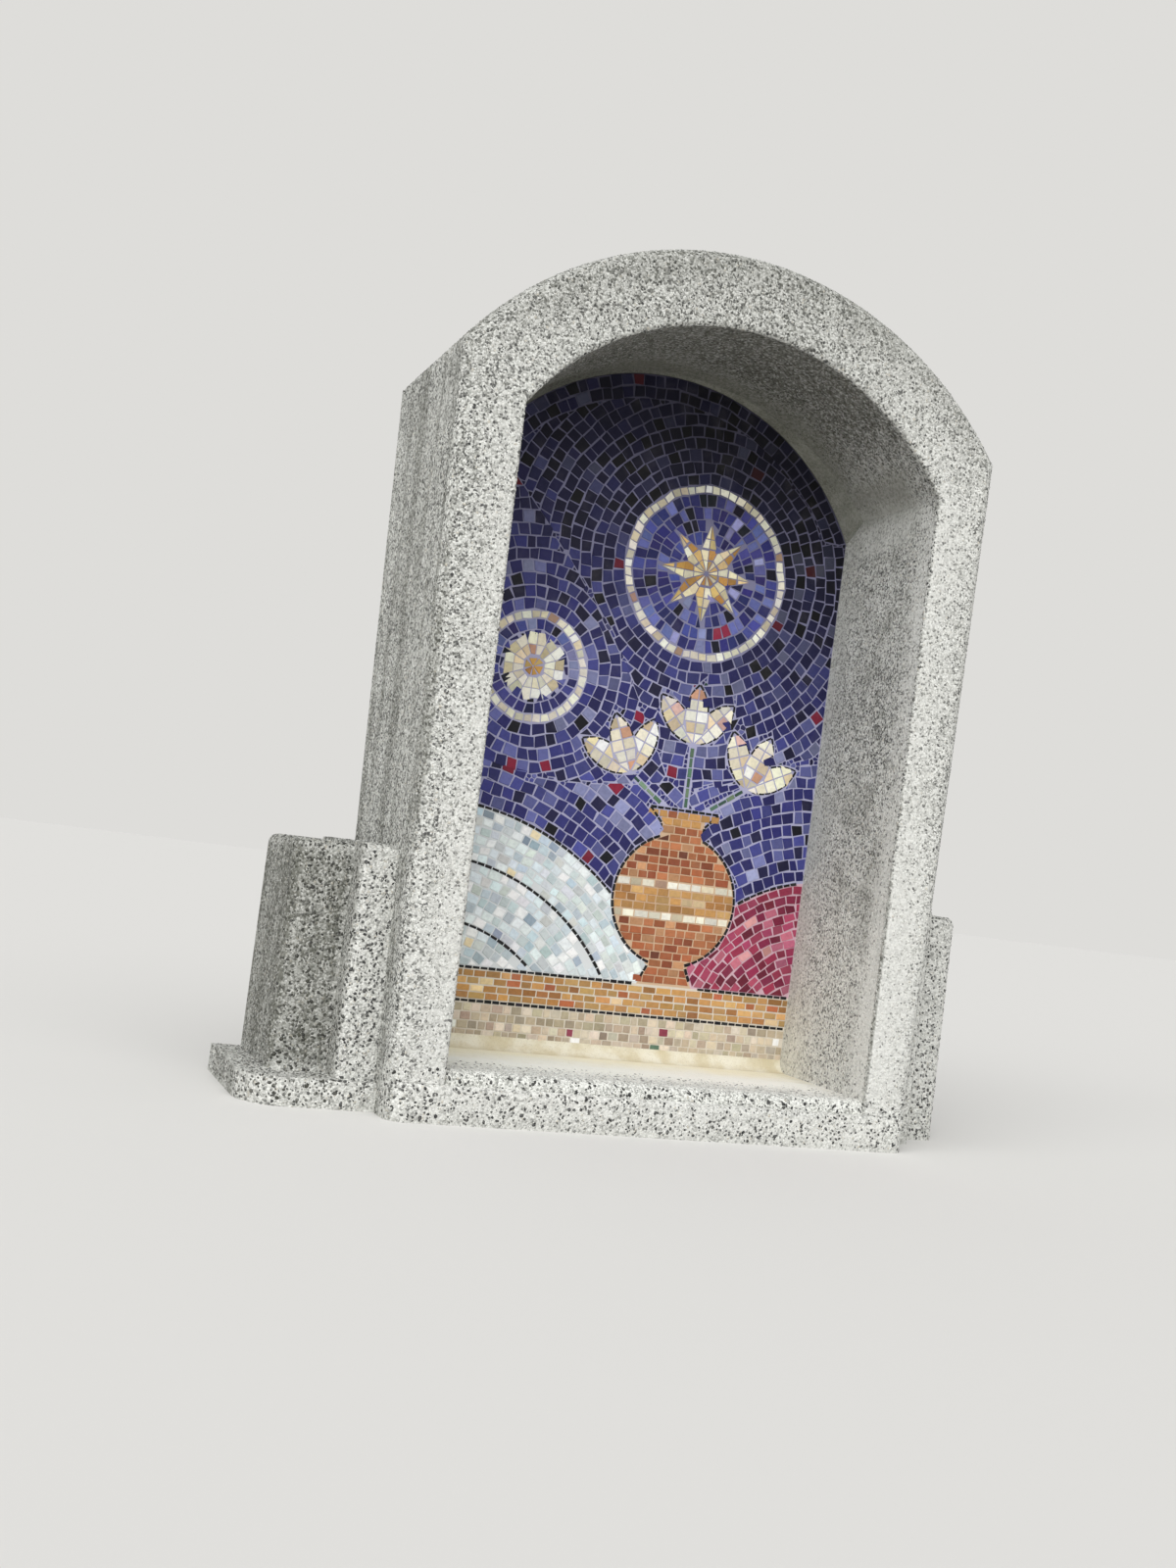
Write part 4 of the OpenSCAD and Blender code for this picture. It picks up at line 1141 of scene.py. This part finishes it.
def stone_setter():
    """Geometry Nodes that set a stone on every point, turned to face out of the wall."""
    tree = bpy.data.node_groups.new("set_stones", "GeometryNodeTree")
    for name, kind, value in (("Points", "Geometry", None), ("Stone", "Object", None),
                              ("Stone width", "Float", 3.7 * MM), ("Stone height", "Float", 2.3 * MM),
                              ("Roughness", "Float", 0.7 * MM), ("Seed", "Int", None), ("Finish", "Material", None)):
        socket = tree.interface.new_socket(name, in_out="INPUT", socket_type="NodeSocket" + kind)
        if value:
            socket.default_value = value
    tree.interface.new_socket("Stones", in_out="OUTPUT", socket_type="NodeSocketGeometry")
    g = Graph(tree)
    points = g.add("NodeGroupInput", {}, {})
    facing, size = (g.add("GeometryNodeInputNamedAttribute", {"data_type": kind}, {"Name": name})
                    for name, kind in (("facing", "FLOAT_VECTOR"), ("size", "FLOAT")))
    upright = g.add("FunctionNodeAlignRotationToVector", {"axis": "Z"}, {"Vector": facing})
    angle = g.add("FunctionNodeRandomValue", {"data_type": "FLOAT"},
                  {2: 0.0, 3: 6.2832, "Seed": points.output("Seed")}, 1)
    spin = g.add("FunctionNodeAxisAngleToRotation", {}, {"Axis": (0, 0, 1), "Angle": angle})
    rotation = g.add("FunctionNodeRotateRotation", {"rotation_space": "LOCAL"},
                     {"Rotation": upright, "Rotate By": spin})
    shape = g.add("FunctionNodeRandomValue", {"data_type": "FLOAT_VECTOR"},
                  {0: (0.75, 0.65, 0.6), 1: (1.35, 1.1, 1.2), "Seed": points.output("Seed")})
    wide = points.output("Stone width") * size
    extent = g.add("ShaderNodeCombineXYZ", {}, {"X": wide, "Y": wide, "Z": points.output("Stone height")})
    scale = g.add("ShaderNodeVectorMath", {"operation": "MULTIPLY"}, {0: extent, 1: shape})
    stone = g.add("GeometryNodeObjectInfo", {"transform_space": "ORIGINAL"},
                  {"Object": points.output("Stone")}, "Geometry")
    points_on = g.add("GeometryNodeMeshToPoints", {}, {"Mesh": points})
    placed = g.add("GeometryNodeInstanceOnPoints", {},
                   {"Points": points_on, "Instance": stone, "Rotation": rotation, "Scale": scale})
    real = g.add("GeometryNodeRealizeInstances", {}, {"Geometry": placed})
    push = g.shake(g.add("GeometryNodeInputPosition", {}, {}), 420.0, 1.0, points.output("Roughness"))
    rough = g.add("GeometryNodeSetPosition", {}, {"Geometry": real, "Offset": push})
    soft = g.add("GeometryNodeSetShadeSmooth", {}, {"Geometry": rough})
    done = g.add("GeometryNodeSetMaterial", {}, {"Geometry": soft, "Material": points.output("Finish")})
    g.add("NodeGroupOutput", {}, {0: done})
    return tree


def set_back(node, name, axis, toward):
    """A copy of a node whose outermost face steps back, so that stones on it stay within the node's old box."""
    work = bmesh.new()
    work.from_mesh(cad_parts[node].data)
    bmesh.ops.remove_doubles(work, verts=work.verts, dist=HAIR)
    bmesh.ops.recalc_face_normals(work, faces=work.faces)
    near, far = (corner[axis] for corner in span(node)[::toward])
    for v in work.verts:
        v.co[axis] = near + (v.co[axis] - near) * (1 - STAND / abs(far - near))
    mesh = bpy.data.meshes.new(name)
    work.to_mesh(mesh)
    work.free()
    mesh.materials.append(RENDER)
    SURFACE[node] = set_in_place(name, mesh, node)


def faces_of(obj):
    """Corners, normals and areas of a surface's triangles."""
    mesh = obj.data
    mesh.calc_loop_triangles()
    co = np.zeros(len(mesh.vertices) * 3)
    mesh.vertices.foreach_get("co", co)
    tri = np.zeros(len(mesh.loop_triangles) * 3, np.int32)
    mesh.loop_triangles.foreach_get("vertices", tri)
    corners = co.reshape(-1, 3)[tri].reshape(-1, 3, 3)
    cross = np.cross(corners[:, 1] - corners[:, 0], corners[:, 2] - corners[:, 0])
    size = np.linalg.norm(cross, axis=1)
    return corners, cross / np.maximum(size, 1e-15)[:, None], size / 2


def solid(node, obj):
    """A node's box and a search tree of its faces."""
    corners = faces_of(obj)[0]
    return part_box(node), BVHTree.FromPolygons([Vector(c) for c in corners.reshape(-1, 3)],
                                              [(3 * i, 3 * i + 1, 3 * i + 2) for i in range(len(corners))])


def buried(point, solids):
    """True where a point lies inside one of the solids."""
    ray = Vector((0.3123, 0.2177, 0.9247)).normalized()
    for (low, high), tree in solids:
        if all(low[k] - HAIR <= point[k] <= high[k] + HAIR for k in range(3)):
            start, hits = point, 0
            while hits < 40:
                found = tree.ray_cast(start, ray)[0]
                if found is None:
                    break
                hits += 1
                start = found + ray * HAIR
            if hits % 2:
                return True
    return False


# What the render's finish shows at a point, so that the stones agree with it

# coarser stones lie on the base up to the first height, and on the wings up to the second, from x outwards
BASE_TOP_Z, WINGS_TOP_Z, WINGS_FROM_X = 0.085, 0.41, 0.455


def mouth_at(x, z):
    """Distance from the mouth of the niche, across the jambs or across the arch."""
    return hypot(x, z - ARC_Z) - ARC_R if z > NICHE_SPRING else abs(x) - (z * JAMB_LEAN + JAMB_FOOT)


def smooth_share(p, node):
    """How far a point lies in the trowelled part of the niche."""
    x, y, z = p
    if node == "sill":
        return min(1.0, max(0.0, (y - FRONT_Y - 0.010) / 0.12))
    if mouth_at(x, z) > 3 * MM or not FRONT_Y + 8 * MM < y < BACK_Y - 25 * MM:
        return 0.0
    share = max(0.0 if z > NICHE_SPRING else 0.30, min(1.0, (y - FRONT_Y - 0.21) / 0.10))
    return max(share, 0.9) if abs(z - NICHE_SPRING) < 0.07 and y > FRONT_Y + 0.06 else share


def soiling_and_shade_at(p, n):
    """How soiled the wall is at a point, together with painted shade."""
    x, y, z = p
    wide = abs(x)
    if mouth_at(x, z) < 2 * MM and FRONT_Y + 6 * MM < y < BACK_Y - 25 * MM:
        # in the vault: painted shade over darker stone, darker upwards; a little on the jambs
        return 0.34 + 0.56 * rise(z, NICHE_SPRING + 0.03, NICHE_SPRING + 0.17) if z > NICHE_SPRING else 0.08
    low = rise(z, 0.42, 0.36) * rise(wide, 0.452, 0.470)
    # painted shadow of foliage over the left outer wing
    outer = rise(wide, WING_X - 2 * MM, WING_X + 12 * MM) if x < 0 else 0.0
    # painted shade in the crease between the inner and outer wings
    crease_shade = rise(abs(wide - WING_X), 0.010, 0.001) * low
    darkening = rise(-n[0], 0.35, 0.8) * (0.26 - 0.20 * low) + low * 0.50 * outer + crease_shade * 0.28
    return min(0.85, darkening + rise(-n[1], 0.55, 0.85) * rise(z, 1.12, 1.36) * 0.20)


def low_down(x, z):
    """True on the base and the wings, where the stones are coarser and cleaner."""
    return (z < BASE_TOP_Z) | ((abs(x) > WINGS_FROM_X) & (z < WINGS_TOP_Z))


def film_at(p, n):
    """How far cement veils the stones at a point."""
    x, y, z = p
    front = rise(-n[1], 0.55, 0.85)
    mouth = mouth_at(x, z)
    film = 0.14 + front * 0.30 * rise(mouth, 0.085, 0.01) * rise(z, 1.25, 1.0) + front * 0.18 * rise(x, 0.1, 0.4)
    film += front * 0.20 * rise(z, 0.62, 0.30) * rise(z, 0.06, 0.12) + 0.12 * rise(x, 0.47, 0.50)
    if low_down(x, z):
        film = 0.04
    if mouth < 2 * MM and front < 0.5 and z < NICHE_SPRING and y < BACK_Y - 25 * MM:
        film += 0.04 + 0.20 * rise(z, 0.55, 0.25) + 0.44 * rise(y, FRONT_Y + 0.075, FRONT_Y + 0.030)
    return min(0.8, film)


# each piece of stones: the nodes it covers and how crowded they are
STONE_GROUPS = {
    "head_stones": (["arch_left_haunch", "arch_crown", "arch_right_haunch"], 1.0),
    "left_jamb_stones": (["left_jamb"], 1.0),
    "right_jamb_stones": (["right_jamb"], 1.0),
    "left_wing_stones": (["left_inner_wing", "left_outer_wing"], 1.1),
    "right_wing_stones": (["right_inner_wing", "right_outer_wing"], 0.8),
    "base_stones": (["base_slab", "base_left_return", "sill"], 1.1),
}
# places tried for each square metre, the size of a cell that holds one stone at most, and the farthest that a
# stone reaches along the wall
STONES_PER_M2 = 26000
CLOSEST = 3.7 * MM
REACH = 4.8 * MM


def scattered(rng, nodes, crowding):
    """Random spots on the faces of some nodes, with their normals and the nodes' names."""
    spots, normals, owners = [], [], []
    for node in nodes:
        corners, normal, area = faces_of(SURFACE[node])
        count = int(area.sum() * STONES_PER_M2 * crowding)
        pick = rng.choice(len(area), count, p=area / area.sum())
        u, v = rng.random(count), rng.random(count)
        flip = u + v > 1
        u[flip], v[flip] = 1 - u[flip], 1 - v[flip]
        c = corners[pick]
        spots.append(c[:, 0] + (c[:, 1] - c[:, 0]) * u[:, None] + (c[:, 2] - c[:, 0]) * v[:, None])
        normals.append(normal[pick])
        owners += [node] * count
    return np.concatenate(spots), np.concatenate(normals), owners


def stones(setter, seed_stone, solids, name, nodes, crowding, seed):
    """Sets the stones that stand out of one group of masonry."""
    rng = np.random.default_rng(seed)
    spots, normals, owners = scattered(rng, nodes, crowding)
    keep, taken = [], set()
    low, high = (np.array(Vector(c)) for c in CAD_BOX)
    for i, (p, n, chance) in enumerate(zip(spots, normals, rng.random(len(spots)))):
        # none on faces that look down, and none that could pass the model's box
        cell = tuple(int(floor(c / CLOSEST)) for c in p)
        if cell in taken or n[2] < -0.95:
            continue
        tip = p + n * (STAND - 0.1 * MM)
        reach = REACH * (1 - np.abs(n))
        if (np.minimum(tip, p - reach) < low).any() or (np.maximum(tip, p + reach) > high).any():
            continue
        if chance < smooth_share(p, owners[i]) or buried(Vector(p + n * FREE), solids):
            continue
        taken.add(cell)
        keep.append(i)
    spots, normals = spots[keep], normals[keep]
    x, _, z = spots.T
    coarse = low_down(x, z)
    width = np.interp(z, [0.3, 1.1], [1.06, 0.80]) * np.clip(rng.lognormal(0, 0.28, len(keep)), 0.55, 1.7)
    tone = rng.random(len(keep))
    tone = np.where(coarse, np.interp(tone, [0, 0.36, 0.46, 1], [0, 0.20, 0.52, 1]), tone)
    # each stone is a little cleaner or more soiled than its place, with more or less of its painted shade, and the
    # film hides some and spares others
    grime, film = (np.array([at(p, n) for p, n in zip(spots, normals)]) for at in (soiling_and_shade_at, film_at))
    grime = grime * (0.35 + 1.2 * rng.random(len(keep)))
    film = np.minimum(0.9, film * 0.30 + 0.55 * (film * 1.15 > rng.random(len(keep))))
    mesh = mesh_of(name, [tuple(c) for c in spots], [])
    facing = mesh.attributes.new("facing", "FLOAT_VECTOR", "POINT")
    facing.data.foreach_set("vector", normals.astype(np.float32).ravel())
    for layer, values in (("size", np.where(coarse & (tone < 0.3), width * 1.22, width)), ("tone", tone),
                          ("grime", np.minimum(0.85, grime)), ("film", film)):
        mesh.attributes.new(layer, "FLOAT", "POINT").data.foreach_set("value", values.astype(np.float32))
    holder = linked(name + "_points", mesh)
    modifier = holder.modifiers.new("stones", "NODES")
    modifier.node_group = setter
    values = {"Stone": seed_stone, "Seed": seed, "Finish": GRAINS}
    for item in setter.interface.items_tree:
        if item.in_out == "INPUT" and item.name in values:
            modifier[item.identifier] = values[item.name]
    result = bpy.data.meshes.new_from_object(holder.evaluated_get(bpy.context.evaluated_depsgraph_get()))
    result.name = name
    bpy.data.objects.remove(holder)
    set_in_place(name, result)


def dress(node, material):
    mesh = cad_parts[node].data
    mesh.materials.clear()
    mesh.materials.append(material)


# Studio

PALE = srgb(222, 221, 218)
CAMERA_PLACE = Vector((-1.0813, -2.4940, 0.3999))
CAMERA_YAW, CAMERA_PITCH, CAMERA_ROLL = 21.046, 3.053, 7.185
CAMERA_LENS = 36.945
LIGHTS_OF_STUDIO = (("sky_light", (0.22, 0.70, -1.0), 1.75, 70), ("side_light", (1.0, 1.0, -0.40), 1.30, 60))


def plain_floor():
    bpy.ops.mesh.primitive_plane_add(size=60, location=(0, 0, 0))
    floor = bpy.context.object
    floor.name = "studio_floor"
    f = Finish("studio_floor")
    base = f.add("ShaderNodeBsdfPrincipled", {}, {"Base Color": PALE, "Roughness": 0.95, "Specular IOR Level": 0.0})
    f.add("ShaderNodeOutputMaterial", {}, {"Surface": base})
    floor.data.materials.append(f.material)


def studio():
    """Soft light from above and in front, with an even pale sky behind."""
    world = bpy.data.worlds.new("studio")
    bpy.context.scene.world = world
    world.use_nodes = True
    world.node_tree.nodes.clear()
    g = Graph(world.node_tree)
    soft = g.add("ShaderNodeBackground", {}, {"Color": (1.0, 1.0, 1.0), "Strength": 0.46})
    seen = g.add("ShaderNodeBackground", {}, {"Color": PALE, "Strength": 1.0})
    ray = g.add("ShaderNodeLightPath", {}, {}, "Is Camera Ray")
    swap = g.add("ShaderNodeMixShader", {}, {0: ray, 1: soft, 2: seen})
    g.add("ShaderNodeOutputWorld", {}, {0: swap})
    for name, aim, strength, spread in LIGHTS_OF_STUDIO:
        lamp = bpy.data.lights.new(name, "SUN")
        lamp.energy = strength
        lamp.angle = radians(spread)
        obj = linked(name, lamp)
        obj.location = (0, -1, 3)
        obj.rotation_euler = Vector(aim).to_track_quat("-Z", "Y").to_euler()
    bpy.context.scene.view_settings.view_transform = "Standard"


def camera():
    yaw, pitch, roll = (radians(a) for a in (CAMERA_YAW, CAMERA_PITCH, CAMERA_ROLL))
    ahead = Vector((sin(yaw) * cos(pitch), cos(yaw) * cos(pitch), sin(pitch)))
    right = Vector((cos(yaw), -sin(yaw), 0))
    top = right.cross(ahead)
    across = cos(roll) * right + sin(roll) * top
    above_it = -sin(roll) * right + cos(roll) * top
    data = bpy.data.cameras.new("camera")
    data.lens = CAMERA_LENS
    data.sensor_width = 36
    obj = linked("camera", data)
    obj.matrix_world = Matrix.Translation(CAMERA_PLACE) @ Matrix((across, above_it, -ahead)).transposed().to_4x4()
    bpy.context.scene.camera = obj


camera()
studio()
plain_floor()
for part in MASONRY:
    dress(part, RENDER)
dress("sill", CEMENT)
dress("soffit_band", CEMENT)
dress("sill_mortar_fillet", MORTAR)
grout()
sky()
ring("large_ring_tesserae", "mosaic_large_ring", LARGE_RING, 1)
ring("small_ring_tesserae", "mosaic_small_ring", SMALL_RING, 2)
star()
rosette()
hills()
urn()
lilies()
steps()
outlines()

set_back("base_slab", "washed_base", 1, -1)
set_back("base_left_return", "washed_left_return", 0, -1)
set_back("right_outer_wing", "washed_right_outer_wing", 0, 1)
SOLIDS = [solid(node, obj) for node, obj in [*SURFACE.items(), ("soffit_band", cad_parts["soffit_band"])]]
SETTER = stone_setter()
SEED_STONE = stone_seed()
for number, (name, (nodes, crowding)) in enumerate(STONE_GROUPS.items()):
    stones(SETTER, SEED_STONE, SOLIDS, name, nodes, crowding, SEED + number)
